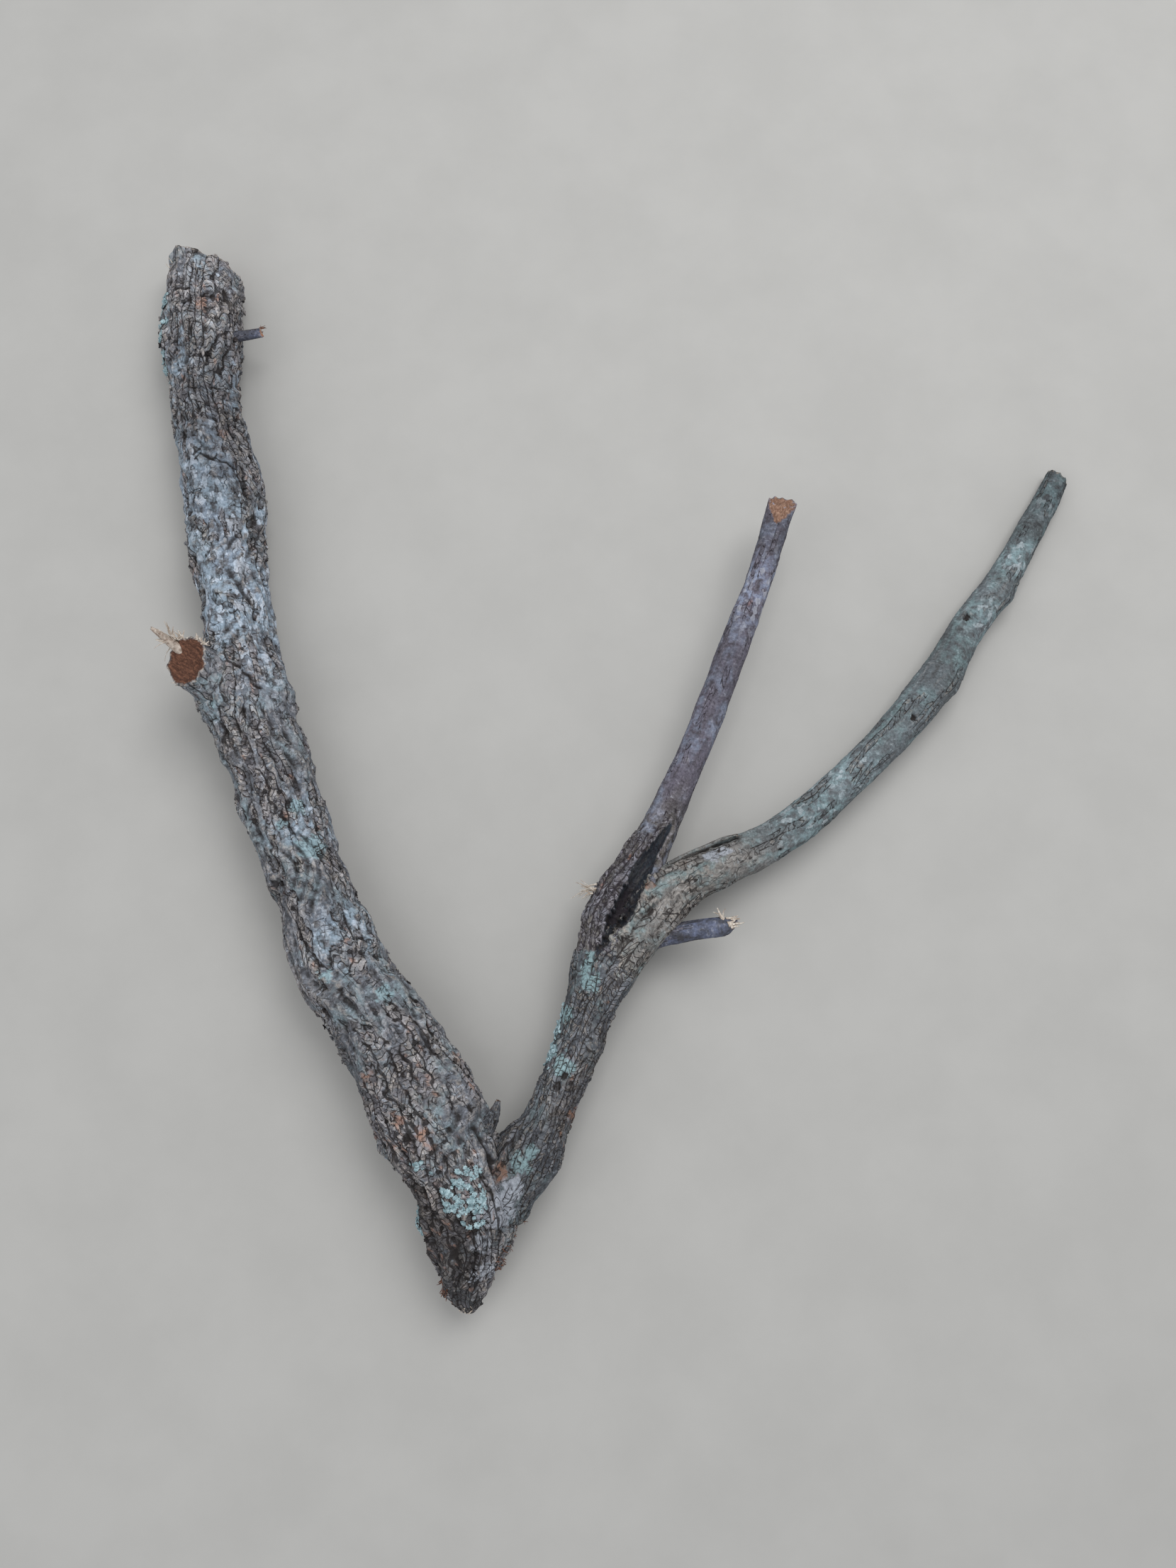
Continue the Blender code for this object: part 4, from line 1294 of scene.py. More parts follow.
class Chip(Enum):
    """The small shapes strewn over bark: each outline's lobes, their depth and its lift."""

    LOBE = (9, 0.26, 0.3)
    FLAKE = (7, 0.34, 0.5)

    def make(self) -> bpy.types.Object:
        """Make the shape as a thin closed plate, 1 mm in radius.

        Returns:
            A hidden object for Geometry Nodes to repeat.
        """
        lobes, depth, lift = self.value
        count = lobes * 2
        turn = TAU * np.arange(count) / count
        wavy = np.where(np.arange(count) % 2 == 0, 1.0, 1.0 - depth)
        around = np.stack([2 * np.cos(turn), 2 * np.sin(turn), turn * 0], -1)
        wavy = wavy + 0.25 * Grain(lobes).smooth(around)
        rings = []
        for share, height in ((0.45, 0.12), (1.0, 0.12 + lift)):
            curl = height + 0.12 * np.sin(3 * turn) * share
            reach = share * wavy
            rings.append(np.stack([reach * np.cos(turn), reach * np.sin(turn), curl], -1))
        upper = np.concatenate([[(0.0, 0.0, 0.12)], *rings])
        lower = upper - (0.0, 0.0, 0.14)
        size = len(upper)
        faces = []
        for k in range(count):
            after = (k + 1) % count
            inner, outer = 1 + k, 1 + count + k
            inner_after, outer_after = 1 + after, 1 + count + after
            faces += [(0, inner, inner_after), (inner, outer, outer_after, inner_after)]
            faces += [(size, size + inner_after, size + inner)]
            faces += [(size + inner, size + inner_after, size + outer_after, size + outer)]
            faces += [(outer, size + outer, size + outer_after, outer_after)]
        mesh = bpy.data.meshes.new(self.name.lower())
        mesh.from_pydata((np.concatenate([upper, lower]) * MM).tolist(), [], faces)
        return bpy.data.objects.new(self.name.lower() + "_shape", mesh)


class Recipe:
    """A Geometry Nodes tree with named inputs, run once to make a piece's plain mesh."""

    def __init__(self, name: str, inputs: dict[str, tuple[str, Any]]) -> None:
        """Make the tree with its inputs.

        Args:
            name: the piece's name.
            inputs: for each input's name its kind of socket and its value.
        """
        self.name = name
        self.tree = bpy.data.node_groups.new(name + "_nodes", "GeometryNodeTree")
        face = self.tree.interface
        for way in ("OUTPUT", "INPUT"):
            face.new_socket("Geometry", in_out=way, socket_type="NodeSocketGeometry")
        self.values = {}
        for key, (kind, value) in inputs.items():
            socket = face.new_socket(key, in_out="INPUT", socket_type="NodeSocket" + kind)
            self.values[socket.identifier] = value
        self.given = add_node(self.tree, "NodeGroupInput").outputs

    def add(self, kind: str, links: dict[int | str, Any], **settings: Any) -> bpy.types.Node:
        """Add a node to the tree."""
        return add_node(self.tree, kind, links, **settings)

    def run(
        self, shape: bpy.types.NodeSocket, mesh: bpy.types.Mesh, material: bpy.types.Material
    ) -> bpy.types.Object:
        """Realise a shape, give it its finish and keep it as a plain mesh in the solids' box.

        Args:
            shape: the tree's last geometry.
            mesh: what the tree starts from.
            material: the finish.

        Returns:
            The piece, with no modifier.
        """
        real = self.add("GeometryNodeRealizeInstances", {"Geometry": shape}).outputs[0]
        links = {"Geometry": real, "Material": self.given["Finish"]}
        self.add("NodeGroupOutput", {0: self.add("GeometryNodeSetMaterial", links).outputs[0]})
        obj = bpy.data.objects.new(self.name, mesh)
        bpy.context.scene.collection.objects.link(obj)
        modifier = obj.modifiers.new("made", "NODES")
        modifier.node_group = self.tree
        for identifier, value in self.values.items():
            modifier[identifier] = value
        graph = bpy.context.evaluated_depsgraph_get()
        plain = bpy.data.meshes.new_from_object(obj.evaluated_get(graph))
        obj.modifiers.clear()
        obj.data = plain
        points = np.empty(len(plain.vertices) * 3, np.float32)
        plain.vertices.foreach_get("co", points)
        points = within_box(points.reshape(-1, 3).astype(float))
        plain.vertices.foreach_set("co", points.astype(np.float32).reshape(-1))
        plain.materials.clear()
        plain.materials.append(material)
        plain.shade_smooth()
        plain.update()
        return obj


@dataclass(frozen=True)
class Strewn:
    """Small plates strewn over a limb where one of its masks says so."""

    name: str
    host: Limb
    mask: str
    chip: Chip
    finish: BarkFinish | PlainFinish
    spacing_mm: float
    smallest: float
    largest: float
    tilt: float
    seed: int
    # Plates a square metre before the spacing thins them.
    density: float = 1.2e6

    def make(
        self, host: bpy.types.Object, shape: bpy.types.Object, material: bpy.types.Material
    ) -> bpy.types.Object:
        """Strew the plates with Geometry Nodes and keep the result as a plain mesh.

        Args:
            host: the limb that carries them.
            shape: one plate.
            material: their finish.

        Returns:
            The plates as one object.
        """
        recipe = Recipe(self.name, {
            "Host": ("Object", host),
            "Plate": ("Object", shape),
            "Spacing": ("Float", self.spacing_mm * MM),
            "Smallest": ("Float", self.smallest),
            "Largest": ("Float", self.largest),
            "Tilt": ("Float", self.tilt),
            "Seed": ("Int", self.seed),
            "Finish": ("Material", material),
        })
        given, add = recipe.given, recipe.add
        carrier = add("GeometryNodeObjectInfo", {"Object": given["Host"]})
        plate = add("GeometryNodeObjectInfo", {"Object": given["Plate"]})
        mask = add("GeometryNodeInputNamedAttribute", {"Name": self.mask}, data_type="FLOAT")
        links = {"Mesh": carrier.outputs["Geometry"], "Distance Min": given["Spacing"]}
        links |= {"Density Max": self.density, "Density Factor": mask.outputs["Attribute"]}
        links["Seed"] = given["Seed"]
        points = add("GeometryNodeDistributePointsOnFaces", links, distribute_method="POISSON")
        links = {"X": given["Tilt"], "Y": given["Tilt"], "Z": math.pi}
        lean = add("ShaderNodeCombineXYZ", links).outputs[0]
        back = add("ShaderNodeVectorMath", {0: lean, "Scale": -1.0}, operation="SCALE").outputs[0]
        links = {0: back, 1: lean, "Seed": given["Seed"]}
        spin = add("FunctionNodeRandomValue", links, data_type="FLOAT_VECTOR").outputs[0]
        links = {"Rotation": points.outputs["Rotation"], "Rotate By": spin}
        turned = add("FunctionNodeRotateRotation", links, rotation_space="LOCAL").outputs[0]
        links = {2: given["Smallest"], 3: given["Largest"], "Seed": given["Seed"]}
        size = add("FunctionNodeRandomValue", links, data_type="FLOAT").outputs[1]
        links = {"Points": points.outputs["Points"], "Instance": plate.outputs["Geometry"]}
        links |= {"Rotation": turned, "Scale": size}
        copies = add("GeometryNodeInstanceOnPoints", links).outputs[0]
        return recipe.run(copies, bpy.data.meshes.new(self.name), material)


@dataclass(frozen=True)
class Tuft:
    """A tuft of torn fibres: where it starts, which way it leans and how long and many it is."""

    start: Point
    lean: Point
    length: float
    count: int
    spread: float
    curl: float
    thick: float
    scatter: float


@dataclass(frozen=True)
class TornFibres:
    """Fine strands of torn wood or bast, swept by Geometry Nodes along their own paths."""

    name: str
    finish: PlainFinish
    tufts: tuple[Tuft, ...]
    seed: int
    points: int = 8
    sides: int = 4
    # How high above the ground a strand stays, and how deep in the bark it starts.
    clearance: float = 0.4
    rooted: float = 0.6

    def paths(self, anchors: Array) -> tuple[list[Array], list[Array]]:
        """Lay the strands' paths, each from a place on the bark.

        Args:
            anchors: the points of the limbs' surfaces, in the stations' millimetres.

        Returns:
            The points of each strand, in metres, and its thickness at each.
        """
        chance = np.random.default_rng(self.seed)
        lines, widths = [], []
        t = np.linspace(0, 1, self.points)[:, None]
        for tuft in self.tufts:
            apart = np.linalg.norm(anchors - np.array(tuft.start), axis=1)
            nearest = anchors[np.argsort(apart, kind="stable")[:1]]
            close = anchors[apart < 2 * tuft.scatter]
            starts = close if len(close) else nearest
            for _ in range(tuft.count):
                way = np.array(tuft.lean) + chance.normal(0, tuft.spread, 3)
                way /= np.linalg.norm(way)
                side = np.cross(way, chance.normal(0, 1, 3))
                side /= np.linalg.norm(side)
                length = tuft.length * chance.uniform(0.45, 1.0)
                bend = tuft.curl * chance.uniform(0.2, 1.0) * length
                start = starts[chance.integers(len(starts))] - self.rooted * way
                wave = 0.06 * length * np.sin(9 * t + chance.uniform(0, 6))
                line = start + way * length * t + side * (bend * t * t + wave * t)
                line[:, 2] = np.maximum(line[:, 2], self.clearance)
                lines.append((line + LAID) * MM)
                thick = tuft.thick * chance.uniform(0.6, 1.2)
                widths.append(thick * MM * (1 - 0.75 * t[:, 0]))
        return lines, widths

    def make(
        self, hosts: Iterable[bpy.types.Object], material: bpy.types.Material
    ) -> bpy.types.Object:
        """Sweep the strands and keep them as a plain mesh.

        Args:
            hosts: the limbs that they grow from.
            material: their finish.

        Returns:
            The strands as one object.
        """
        anchors = []
        for host in hosts:
            points = np.empty(len(host.data.vertices) * 3, np.float32)
            host.data.vertices.foreach_get("co", points)
            bare = np.empty(len(host.data.vertices), np.float32)
            host.data.attributes["bare"].data.foreach_get("value", bare)
            anchors.append(points.reshape(-1, 3)[bare < 0.5] / MM - LAID)
        lines, widths = self.paths(np.concatenate(anchors))
        mesh = bpy.data.meshes.new(self.name)
        starts = np.arange(len(lines))[:, None] * self.points
        edges = (starts + np.arange(self.points - 1)).reshape(-1)
        mesh.from_pydata(np.concatenate(lines).tolist(), [(int(k), int(k) + 1) for k in edges], [])
        layer = mesh.attributes.new("thick", "FLOAT", "POINT")
        layer.data.foreach_set("value", np.concatenate(widths).astype(np.float32))
        inputs = {"Sides": ("Int", self.sides), "Finish": ("Material", material)}
        recipe = Recipe(self.name, inputs)
        given, add = recipe.given, recipe.add
        thick = add("GeometryNodeInputNamedAttribute", {"Name": "thick"}, data_type="FLOAT")
        curve = add("GeometryNodeMeshToCurve", {0: given["Geometry"]}).outputs[0]
        links = {"Resolution": given["Sides"], "Radius": 1.0}
        ring = add("GeometryNodeCurvePrimitiveCircle", links, mode="RADIUS").outputs[0]
        links = {"Curve": curve, "Profile Curve": ring, "Scale": thick.outputs["Attribute"]}
        swept = add("GeometryNodeCurveToMesh", links | {"Fill Caps": True}).outputs[0]
        return recipe.run(swept, mesh, material)


@dataclass(frozen=True)
class Studio:
    """The pale floor, the soft light and the camera that looks almost straight down."""

    tilt: float = math.radians(10)
    height: float = 687.0
    lens: float = 28.09
    sensor: float = 36.0
    floor_reach: float = 4.0
    floor_sides: int = 96
    # Each light's name, place and size in metres, and power in watts.
    lights: tuple[tuple[str, Point, float, float], ...] = (
        ("key", (0.45, 0.75, 1.5), 1.1, 17.0),
        ("fill", (-0.9, -0.5, 1.4), 1.6, 7.0),
    )
    room_light: float = 0.55

    def build(self) -> None:
        """Make the floor, the lights and the camera."""
        mesh = bpy.data.meshes.new("floor")
        turns = [TAU * k / self.floor_sides for k in range(self.floor_sides)]
        reach = self.floor_reach
        edge = [(reach * math.cos(t), reach * math.sin(t), 0.0) for t in turns]
        mesh.from_pydata(edge, [], [range(self.floor_sides)])
        mesh.materials.append(MATT_PAPER.make())
        placed(bpy.data.objects.new("floor", mesh))
        for name, at, size, watts in self.lights:
            lamp = bpy.data.lights.new(name, "AREA")
            lamp.size = size
            lamp.energy = watts
            face_along(placed(bpy.data.objects.new(name, lamp)), Vector(at), -Vector(at))
        world = bpy.data.worlds.new("room")
        world.use_nodes = True
        background = world.node_tree.nodes["Background"]
        background.inputs["Color"].default_value = (0.95, 0.97, 1.0, 1.0)
        background.inputs["Strength"].default_value = self.room_light
        bpy.context.scene.world = world
        bpy.context.scene.view_settings.view_transform = "Standard"
        data = bpy.data.cameras.new("camera")
        data.lens = self.lens
        data.sensor_width = self.sensor
        data.clip_start = 0.01
        camera = placed(bpy.data.objects.new("camera", data))
        look = Vector((0.0, math.sin(self.tilt), -math.cos(self.tilt)))
        face_along(camera, Vector((LAID + (0.0, 0.0, self.height)) * MM), look)
        bpy.context.scene.camera = camera


def placed(obj: bpy.types.Object) -> bpy.types.Object:
    """Put an object in the scene and hand it back."""
    bpy.context.scene.collection.objects.link(obj)
    return obj


def face_along(obj: bpy.types.Object, at: Vector, look: Vector) -> None:
    """Put a lamp or a camera at its place and turn it.

    Args:
        obj: the lamp or camera.
        at: its place.
        look: the direction in which it looks.
    """
    obj.location = at
    obj.rotation_mode = "QUATERNION"
    obj.rotation_quaternion = look.to_track_quat("-Z", "Y")


# A thin strip of bark that stands off the upper edge of the curved shoot.
PEELED_SLIVER = (
    (43, 72, 31, 1, 1), (53, 77, 32, 1.1, 1.6), (63, 81.2, 31.5, 1.1, 1.9),
    (73, 85.6, 30.5, 1.1, 1.8), (81, 87.8, 29, 0.9, 1.2),
)
THICK = Limb(
    "thick_limb_bark", THICK_LIMB, sides=142, spacing=0.98, coarse=CoarseBark(1.8, 8.5, 18, 8),
    lumps=THICK_LUMPS, tip=BrokenEnd(4.5, 6, math.pi, 3, 1.6),
)
SIDE = Limb(
    "side_limb_bark", SIDE_LIMB, sides=112, spacing=0.8, coarse=CoarseBark(1, 6.5, 15, 5),
    lumps=SIDE_LUMPS, tip_tuck=20, root_tuck=10,
)
STRAIGHT = Limb(
    "straight_shoot_bark", STRAIGHT_SHOOT, sides=92, spacing=0.75, coarse=CoarseBark(0.45, 6, 16),
    lumps=STRAIGHT_LUMPS, tip=BrokenEnd(2, 5, math.radians(-80), 1.5, 0.8), root_tuck=12,
)
CURVED = Limb(
    "curved_shoot_bark", CURVED_SHOOT, sides=96, spacing=0.8, coarse=CoarseBark(0.45, 6, 16),
    lumps=CURVED_LUMPS, tip=BrokenEnd(2, 1.5, math.pi, 1, 0.5), root_tuck=12,
)
STUB = Limb(
    "snapped_stub", SNAPPED_STUB, sides=100, spacing=0.8, coarse=CoarseBark(0.45, 6, 16),
    tip=BrokenEnd(2.2, 6.5, math.radians(-65), 2, 0.2, 0.8),
)
TWIG = Limb(
    "side_twig_bark", SIDE_TWIG, sides=48, spacing=0.8, coarse=CoarseBark(0.3, 6, 16),
    tip=BrokenEnd(2, 0, 0, 1, 0.5),
)
SMALL_TWIG = Limb("tiny_twig_bark", TINY_TWIG, 28, 0.8, CoarseBark(0.3, 6, 16), tip=BrokenEnd(1.5))
SPUR = Limb("bark_spur", BARK_SPUR, 24, 0.9, CoarseBark(0.45, 6, 16))
STUB_TEAR = Limb("torn_strip_at_stub", STUB_SPLINTER, 24, 0.8, CoarseBark(0.45, 6, 16))
TOP_TEAR = Limb("torn_strip_at_top", TOP_SPLINTER, 20, 0.8, CoarseBark(0.45, 6, 16))
SLIVER = Limb("peeled_sliver", PEELED_SLIVER, 16, 0.7, CoarseBark(0.3, 4, 9))
CORKY = BarkPattern(
    seed=3, rows=27, plate_length=3.9, plate_rise=0.85, ladder_length=34, band_width=11,
    band_length=75, rough_share=-0.06, crack_depth=0.75, wrinkle_rise=0.24, wrinkle_size=2.2,
    film_share=0, rust_share=0, young_cracks=1,
    cool_zones=(
        (-190, 215, 46, 48), (-205, 285, 44, 45), (-213, 350, 42, 42), (-206, 385, 40, 12),
        (-222, 412, 38, 14), (-128, 33, 47, 17), (-148, 96, 46, 19),
    ),
    tone_zones=(
        (-213, 350, 40, 30, -0.26), (-210, 312, 40, 24, -0.3), (-203, 282, 40, 18, -0.32),
        (-216, 400, 40, 22, 0.1), (-189, 222, 44, 26, 0.06), (-152, 96, 46, 20, -0.12),
        (-172, 138, 46, 22, 0.1), (-180, 130, 30, 20, -0.25), (-160, 50, 32, 26, -0.25),
        (-124, -32, 34, 26, -0.32), (-45, -110, 44, 20, -0.08),
    ),
    film_spots=(
        (-154, 100, 46, 4.5), (-162, 91, 46, 4), (-146, 79, 46, 7), (-200, 158, 46, 5),
        (-191, 170, 44, 5), (-135, 12, 48, 4.5), (-104, 4, 48, 5), (-205, 385, 42, 6),
    ),
    pale_spots=(
        (-178, 196, 46, 4.5), (-157, 136, 46, 3), (-196, 259, 45, 4), (-189, 234, 45, 5),
        (-194, 249, 45, 3.5), (-190, 213, 45, 3.5), (-46, -105, 45, 10), (-41, -93, 45, 8),
        (-53, -121, 42, 5.5), (-51, -135, 35, 6.5), (-57, -138, 35, 4.5),
    ),
    rust_spots=(
        (-223, 397, 41, 5.5), (-214, 402, 41, 4), (-205, 315, 43, 3.5), (-96, -60, 52, 4),
        (-84, -66, 53, 4.5), (-79, -72, 53, 3.5), (-102, -74, 46, 4), (-45, -86, 45, 4),
        (-67, -29, 34, 4), (-161, 96, 45, 3), (-112, -40, 48, 4),
    ),
    pit_spots=((-165, 60, 42, 3), (-163, 53, 42, 2.6), (-156, 12, 26, 6), (-47, -80, 44, 3)),
    # The butt's dark lower-left flank: dark bark, with painted shade where that side turns from the
    # light.
    dark_and_shade_spots=((-70, -120, 44, 22), (-88, -100, 36, 16), (-66, -140, 30, 13), (-62, -153, 22, 10)),
    leafy_spots=(
        (-60, -89, 52, 7.5), (-68, -97, 50, 6.5), (-58, -101, 50, 8), (-83, -81, 50, 5),
        (-56, -108, 48, 4.5), (-86.5, -111, 30, 6.5), (-251, 399, 26, 8), (-250, 383, 26, 8),
        (-246, 364, 24, 8),
    ),
    grooves=(
        (((-247, 404), (-238, 407), (-231, 406)), 0.9, 1.6), (((-224, 402), (-212, 402)), 0.7, 1.4),
        (((-231, 384), (-222, 383)), 0.6, 1), (((-229, 343), (-220, 342), (-209, 343.5)), 0.5, 1),
        (((-218, 301), (-208, 297), (-198, 294)), 0.8, 1.3),
        (((-191, 178), (-183, 172), (-176, 165)), 0.8, 1.4),
        (((-58, -64), (-51, -76), (-47.5, -88)), 0.9, 1.2),
    ),
    rough_spots=(
        (-62, -150, 24, 14), (-62, -125, 38, 26), (-75, -95, 50, 24), (-100, -60, 44, 24),
        (-224, 400, 40, 24), (-212, 372, 42, 22), (-222, 340, 42, 20),
    ),
    smooth_spots=(
        (-211, 278, 40, 15), (-200, 236, 44, 17), (-190, 205, 46, 12), (-153, 82, 48, 11),
        (-141, 58, 50, 10), (-113, 2, 50, 10),
    ),
)
KNOBBLY = BarkPattern(
    seed=11, rows=26, plate_length=3.6, plate_rise=0.8, ladder_length=20, band_width=10,
    band_length=24, rough_share=0.25, crack_depth=0.6, wrinkle_rise=0.25, wrinkle_size=1.8,
    film_share=0, rust_share=-0.15, young_cracks=1,
    film_spots=(
        (-20, -27, 37, 5), (-13, -34, 40, 6), (-1, 17, 42, 5.5), (1, 9, 42, 6), (2, 22, 42, 4),
        (-11, -7, 36, 4), (-34, -81, 45, 6), (-29, -76, 45, 4),
    ),
    pale_spots=((-44, -104, 43, 8.5), (-38, -94, 44, 6.5)),
    tone_zones=((-29, -78, 40, 22, -0.12), (-13, -36, 40, 18, 0.2), (10, 14, 40, 18, 0.16)),
    rust_spots=((-8, -60, 30, 5), (-45, -86, 45, 5)),
    leafy_spots=((-21, -27, 30, 6), (-12.5, -7, 28, 5.5), (-15, -15, 28, 5.5)),
    pit_spots=((-16, -44, 40, 2.6), (-12, -38, 40, 2)),
)
THIN_PURPLE = BarkPattern(
    seed=19, rows=16, plate_length=5, plate_rise=0.3, ladder_length=24, band_width=9,
    band_length=30, rough_share=-0.35, crack_depth=0.22, wrinkle_rise=0.14, wrinkle_size=1.8,
    film_share=0, rust_share=-0.3, old_until=(85, 125), old_rise=5,
    rough_spots=((6, 40, 40, 16), (14, 60, 42, 16), (26, 78, 40, 12)),
    rust_spots=((9, 60, 36, 3.5),), cool_zones=((93, 222, 40, 24),),
    tone_zones=(
        (91, 216, 40, 20, 0.08), (74, 179, 40, 18, -0.2), (103, 250, 40, 16, -0.2),
        (31, 84, 40, 14, 0.08),
    ),
)
THIN_GREEN = BarkPattern(
    seed=27, rows=18, plate_length=4.6, plate_rise=0.55, ladder_length=24, band_width=9,
    band_length=26, rough_share=-0.3, crack_depth=0.35, wrinkle_rise=0.2, wrinkle_size=2,
    film_share=0.15, rust_share=-0.3, film_spots=((36, 72, 38, 4),),
    pale_spots=((66, 77, 36, 4.5), (73, 79, 35, 3.6)), rust_spots=((33, 60, 38, 3),),
    pit_spots=((180, 153, 27, 1.9), (214, 213, 23, 2.2), (104, 80, 30, 1.3)), old_until=(90, 150),
    old_rise=1.6,
    tone_zones=(
        (272, 292, 10, 30, -0.5), (247, 251, 18, 9, 0.25), (233, 228, 20, 8, 0.22),
        (136, 119, 29, 12, 0.15), (256, 266, 16, 6, -0.2), (238, 232, 16, 26, -0.16),
        (114, 97, 30, 24, -0.14), (66, 72, 36, 14, -0.1), (200, 176, 20, 26, -0.14),
        (200, 203, 26, 8, -0.35), (248, 256, 16, 8, -0.2), (30, 44, 38, 22, 0.08),
    ),
    cool_zones=(
        (118, 100, 30, 22), (144, 126, 29, 14), (226, 212, 20, 13), (247, 251, 18, 13),
        (270, 286, 12, 13),
    ),
    rough_spots=((22, 22, 38, 12),),
    grooves=((((45, 74), (52, 77), (62, 80.5), (72, 85), (80, 87)), 1.3, 1.8),),
)
# Dry corky bark: matt plates, drawn a little coarser than in life, with a painted highlight on
# their edges, and pale mint and blue-grey crusts of lichen.
THICK_BARK = BarkFinish(
    "weathered_corky_bark_with_crust_lichen", plate="94939A", plate_dark="4A484B",
    plate_pale="C3BFC0", smooth="6B717A", young="6B717A", film="84959C", crust="93AEB6",
    lip="B8AEA4", fissure_and_shade="24201F", rust="A88270", wood="7A5543", wood_dark="4C3228",
    fleck_and_highlight="BCC8D6", cool="A0B2C6",
)
# Dull knobbly bark that a thin film of algae and lichen makes soft grey-green.
SIDE_BARK_FINISH = BarkFinish(
    "knobbly_bark_with_grey_green_film", plate="6E7278", plate_dark="3C3E44", plate_pale="8A8C92",
    smooth="595D62", young="595D62", film="6F8285", crust="859FA3", lip="A09589", fissure_and_shade="2A2625",
    rust="7B5B4A", wood="6F5547", wood_dark="403029", film_share=0.45, fleck_and_highlight="8F989F",
    cool="8A99A3",
)
# Smooth thin bark, purple-grey, that a bloom of blue-grey lichen dulls in soft patches.
PURPLE_BARK = BarkFinish(
    "smooth_purple_grey_bark", plate="74706B", plate_dark="3A3636", plate_pale="979499",
    smooth="65615D", young="64606D", film="858FA3", crust="A5B8C4", lip="9B98A4", fissure_and_shade="332E33",
    rust="8A5A45", wood="A98A77", wood_dark="7B5C4C", film_share=0.6, fleck_and_highlight="9A9CA6", cool="8F9AB3",
)
# Smooth thin bark, grey at the fork and green-grey where it is young.
GREEN_BARK = BarkFinish(
    "smooth_grey_green_bark", plate="94908C", plate_dark="4C4A4A", plate_pale="A3A09E",
    smooth="8E8A86", young="646D73", film="788F92", crust="9DAEBB", lip="ABA197", fissure_and_shade="2B2625",
    rust="865D48", wood="8B7768", wood_dark="4D3F37", film_share=0.6, fleck_and_highlight="A5AFB4", cool="8AA0A6",
)
# The youngest bark: tight and satiny, so it alone shows a faint sheen, with pale wood inside.
TWIG_BARK = replace(
    PURPLE_BARK, name="satin_blue_grey_twig_bark", young="484C59", film="6C7591", wood="CDB39E",
    wood_dark="9A6E58", roughness=0.62,
)
# Mealy pale mint lobes that look soft, as they throw back light from every side.
MINT_LICHEN = PlainFinish("leafy_lichen_with_mealy_lobes", "BCD2D8", "77939A", 2, 0.95)
# Pale sapwood strands, a little silky along the grain.
PALE_STRANDS = PlainFinish("torn_sapwood_strands", "DDD6CC", "A89787", 1.5, 0.8)
# Dull red-brown strands of the inner bark.
RED_STRANDS = PlainFinish("torn_inner_bark_strands", "86604F", "4F362D", 1.5, 0.85)
# Torn bast that the weather has bleached to a dry pale straw.
TORN_BAST = PlainFinish("weathered_torn_bast", "C4B9AE", "857468", 2, 0.9)
PALE_TUFTS = (
    Tuft((-230, 193, 50), (-0.8, 0.45, 0.2), 12, 22, 0.4, 1.1, 0.8, 3.5),
    Tuft((-223, 190, 54), (-0.4, 0.7, 0.4), 6, 22, 0.5, 0.9, 0.7, 3),
    Tuft((-211, 190, 56), (0.1, 0.7, 0.4), 4.5, 26, 0.5, 0.7, 0.8, 3.5),
    Tuft((-216, 176, 46), (-0.4, -0.6, 0.1), 3, 16, 0.5, 0.6, 0.5, 6),
    Tuft((2, 59, 34), (-1, 0.1, 0.15), 12, 12, 0.3, 0.9, 0.6, 1.6),
    Tuft((75, 40, 30), (1, 0.3, 0.1), 6, 16, 0.16, 0.25, 1.1, 1.8),
    Tuft((72, 43, 32), (-0.2, 1, 0.4), 7, 4, 0.2, 0.9, 0.9, 0.5),
    Tuft((-243, 424, 24), (-0.4, 0.9, 0.2), 9, 8, 0.25, 0.4, 0.6, 1.5),
    Tuft((-62, -156, 20), (0.1, -1, 0), 3, 22, 0.5, 0.5, 0.4, 3),
)
RED_TUFTS = (
    Tuft((-74, -146, 24), (-0.5, -0.8, 0), 3.5, 30, 0.5, 0.6, 0.45, 2.5),
    Tuft((-43, -130, 28), (0.8, -0.5, -0.1), 3, 40, 0.6, 0.6, 0.4, 4),
    Tuft((-36, -118, 24), (0.9, -0.3, 0), 3, 30, 0.6, 0.6, 0.35, 4),
    Tuft((-191, 384, 28.5), (1, 0.1, 0.2), 4, 10, 0.4, 0.5, 0.4, 1.2),
    Tuft((-240, 428, 22), (-0.8, 0.5, 0.1), 9, 5, 0.3, 1.2, 0.4, 1.5),
)
# The studio's floor: plain paper without any gloss.
MATT_PAPER = PlainFinish("matt_paper", "B4B3B0", "B0AFAC", 60, 0.95)

@dataclass(frozen=True)
class Dressing:
    """One limb with its bark and finish, and where it runs into other limbs or is open."""

    limb: Limb
    pattern: BarkPattern
    finish: BarkFinish | PlainFinish
    joins: tuple[Limb, ...] = ()
    reach: float = 5.0
    openings: tuple[RottenSplit | PeeledTip, ...] = ()
    node: str = ""
    slot: str = ""

    def make(self, material: bpy.types.Material) -> bpy.types.Object:
        """Make the limb's piece.

        Args:
            material: its finish, made.

        Returns:
            The piece.
        """
        skin = self.limb.skin()
        for other in self.joins:
            melt_into(skin, other, self.reach)
        for opening in self.openings:
            opening.open_in(skin)
        self.pattern.grow(skin)
        note_creases(skin)
        obj = build_mesh(self.limb.name, skin)
        obj.data.materials.append(material)
        return obj


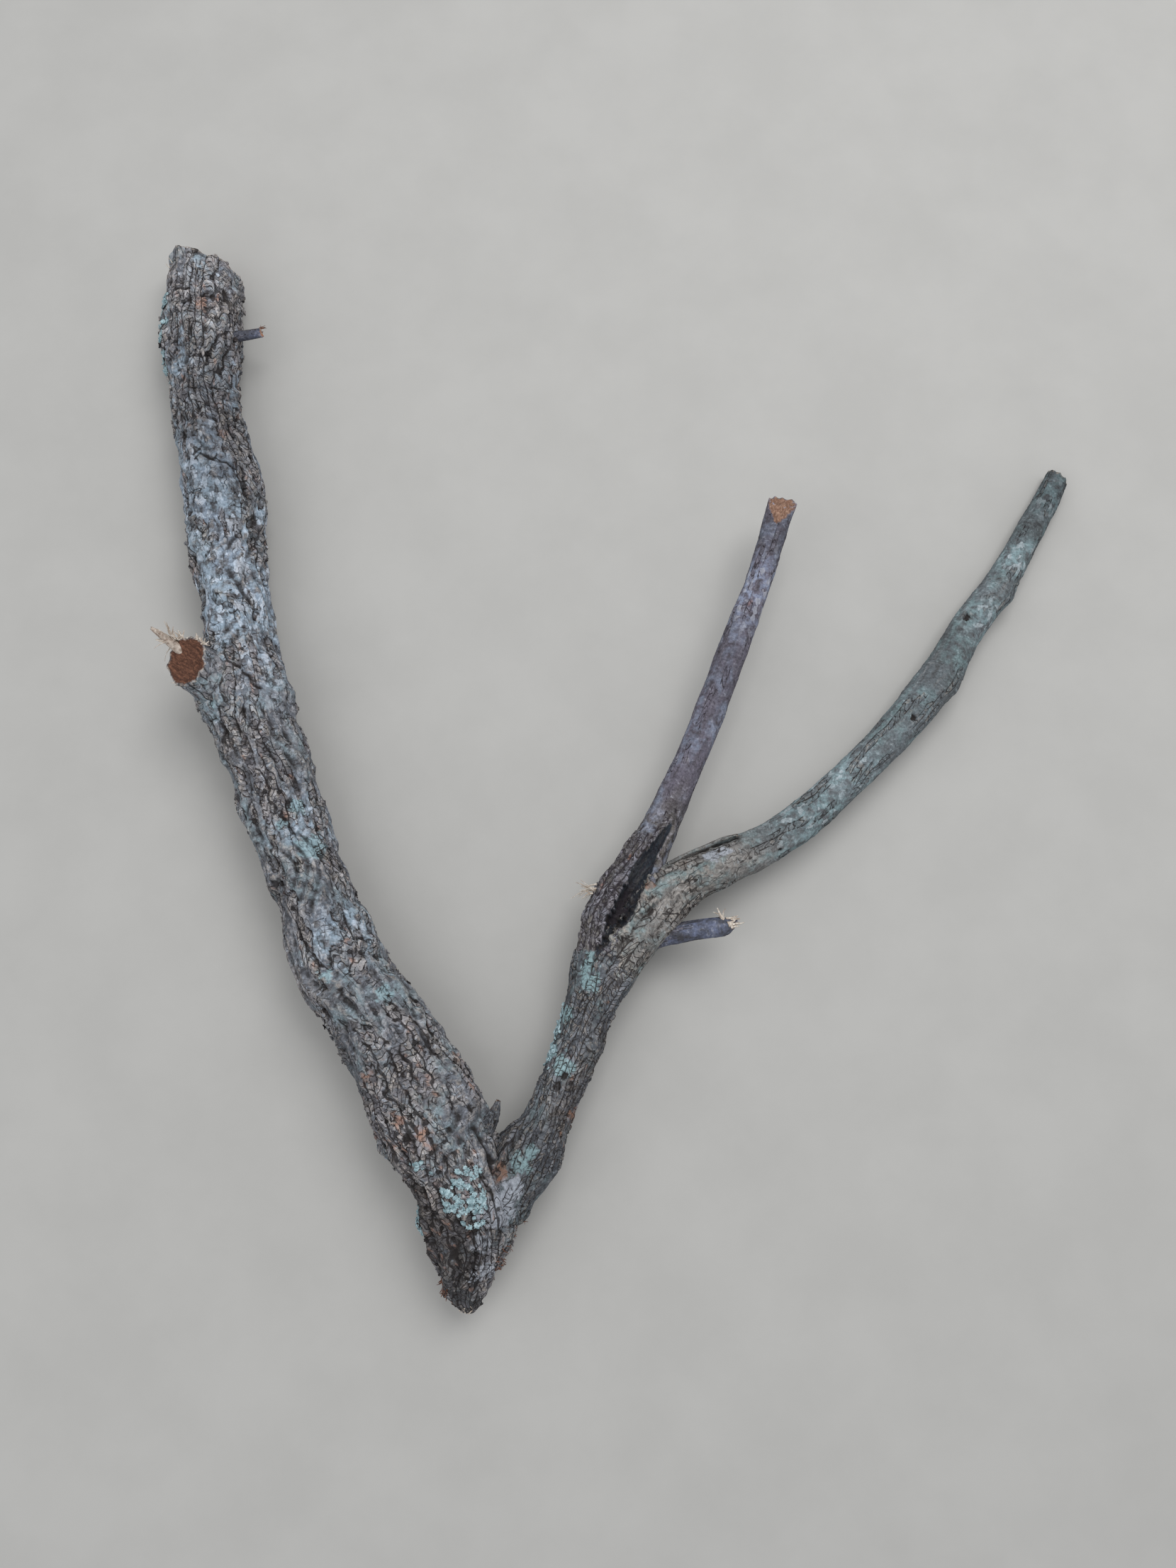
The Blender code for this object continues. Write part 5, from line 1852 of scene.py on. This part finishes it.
SPLIT = RottenSplit(ROTTEN_SPLIT)
YOUNG = replace(THIN_PURPLE, old_until=(-20, -10), rough_spots=())
PLAIN_STRIP = replace(THIN_GREEN, grooves=(), pit_spots=(), old_until=(900, 901))
DRESSINGS = (
    Dressing(
        THICK, CORKY, THICK_BARK, joins=(STUB,), reach=12,
        node="thick_limb", slot="rough_bark",
    ),
    Dressing(
        SIDE, KNOBBLY, SIDE_BARK_FINISH, joins=(STRAIGHT, CURVED), openings=(SPLIT,),
        node="side_limb", slot="side_limb_bark",
    ),
    Dressing(
        STRAIGHT, THIN_PURPLE, PURPLE_BARK, joins=(SIDE, CURVED),
        openings=(SPLIT, PeeledTip(14, 8.5, 0.9)), node="straight_shoot", slot="purple_grey_bark",
    ),
    Dressing(
        CURVED, THIN_GREEN, GREEN_BARK, joins=(SIDE, STRAIGHT), openings=(SPLIT,),
        node="curved_shoot", slot="green_grey_bark",
    ),
    Dressing(STUB, THIN_GREEN, THICK_BARK),
    Dressing(TWIG, YOUNG, TWIG_BARK),
    Dressing(SMALL_TWIG, YOUNG, TWIG_BARK),
    Dressing(SPUR, KNOBBLY, SIDE_BARK_FINISH),
    Dressing(STUB_TEAR, THIN_GREEN, TORN_BAST),
    Dressing(TOP_TEAR, THIN_GREEN, TORN_BAST),
    Dressing(SLIVER, PLAIN_STRIP, GREEN_BARK),
)
PLATES = (
    Strewn(
        "leafy_lichen_on_butt", THICK, "leafy", Chip.LOBE, MINT_LICHEN,
        spacing_mm=1.1, smallest=0.9, largest=1.9, tilt=0.4, seed=4,
    ),
    Strewn(
        "leafy_lichen_on_side_limb", SIDE, "leafy", Chip.LOBE, MINT_LICHEN,
        spacing_mm=1.1, smallest=0.9, largest=1.7, tilt=0.4, seed=5,
    ),
    Strewn(
        "bark_flakes", THICK, "rough", Chip.FLAKE, THICK_BARK,
        spacing_mm=7, smallest=0.9, largest=1.7, tilt=0.15, seed=6,
    ),
)
FIBRES = (
    TornFibres("pale_torn_fibres", PALE_STRANDS, PALE_TUFTS, seed=8),
    TornFibres("red_torn_fibres", RED_STRANDS, RED_TUFTS, seed=9),
)
# The limbs on which torn fibres can start.
FRAYED = (THICK, SIDE, STRAIGHT, STUB, TWIG, SMALL_TWIG, TOP_TEAR)


class Branch:
    """The whole branch: its pieces by name, and the finishes that they share."""

    def __init__(self) -> None:
        """Start with no piece and no finish made."""
        self.pieces: dict[str, bpy.types.Object] = {}
        self.materials: dict[str, bpy.types.Material] = {}

    def material(self, finish: BarkFinish | PlainFinish) -> bpy.types.Material:
        """Make a finish when it is first asked for.

        Args:
            finish: the finish.

        Returns:
            Its one material.
        """
        if finish.name not in self.materials:
            self.materials[finish.name] = finish.make()
        return self.materials[finish.name]

    def dress(self) -> None:
        """Make the limbs, what is strewn over them and their fibres, and hide the solids they
        cover.
        """
        for row in DRESSINGS:
            self.pieces[row.limb.name] = piece = row.make(self.material(row.finish))
            if row.node:
                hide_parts(row.node)
        shapes = {chip: chip.make() for chip in Chip}
        for row in PLATES:
            host = self.pieces[row.host.name]
            self.pieces[row.name] = row.make(host, shapes[row.chip], self.material(row.finish))
        hosts = [self.pieces[limb.name] for limb in FRAYED]
        for row in FIBRES:
            self.pieces[row.name] = row.make(hosts, self.material(row.finish))


def main() -> None:
    """Build the studio and the branch, and log each piece's face count."""
    logging.basicConfig(level=logging.INFO)
    Studio().build()
    branch = Branch()
    branch.dress()
    for name, piece in branch.pieces.items():
        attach(piece, "root")
        LOG.info("%s: %d faces", name, len(piece.data.polygons))


if __name__ == "__main__":
    main()
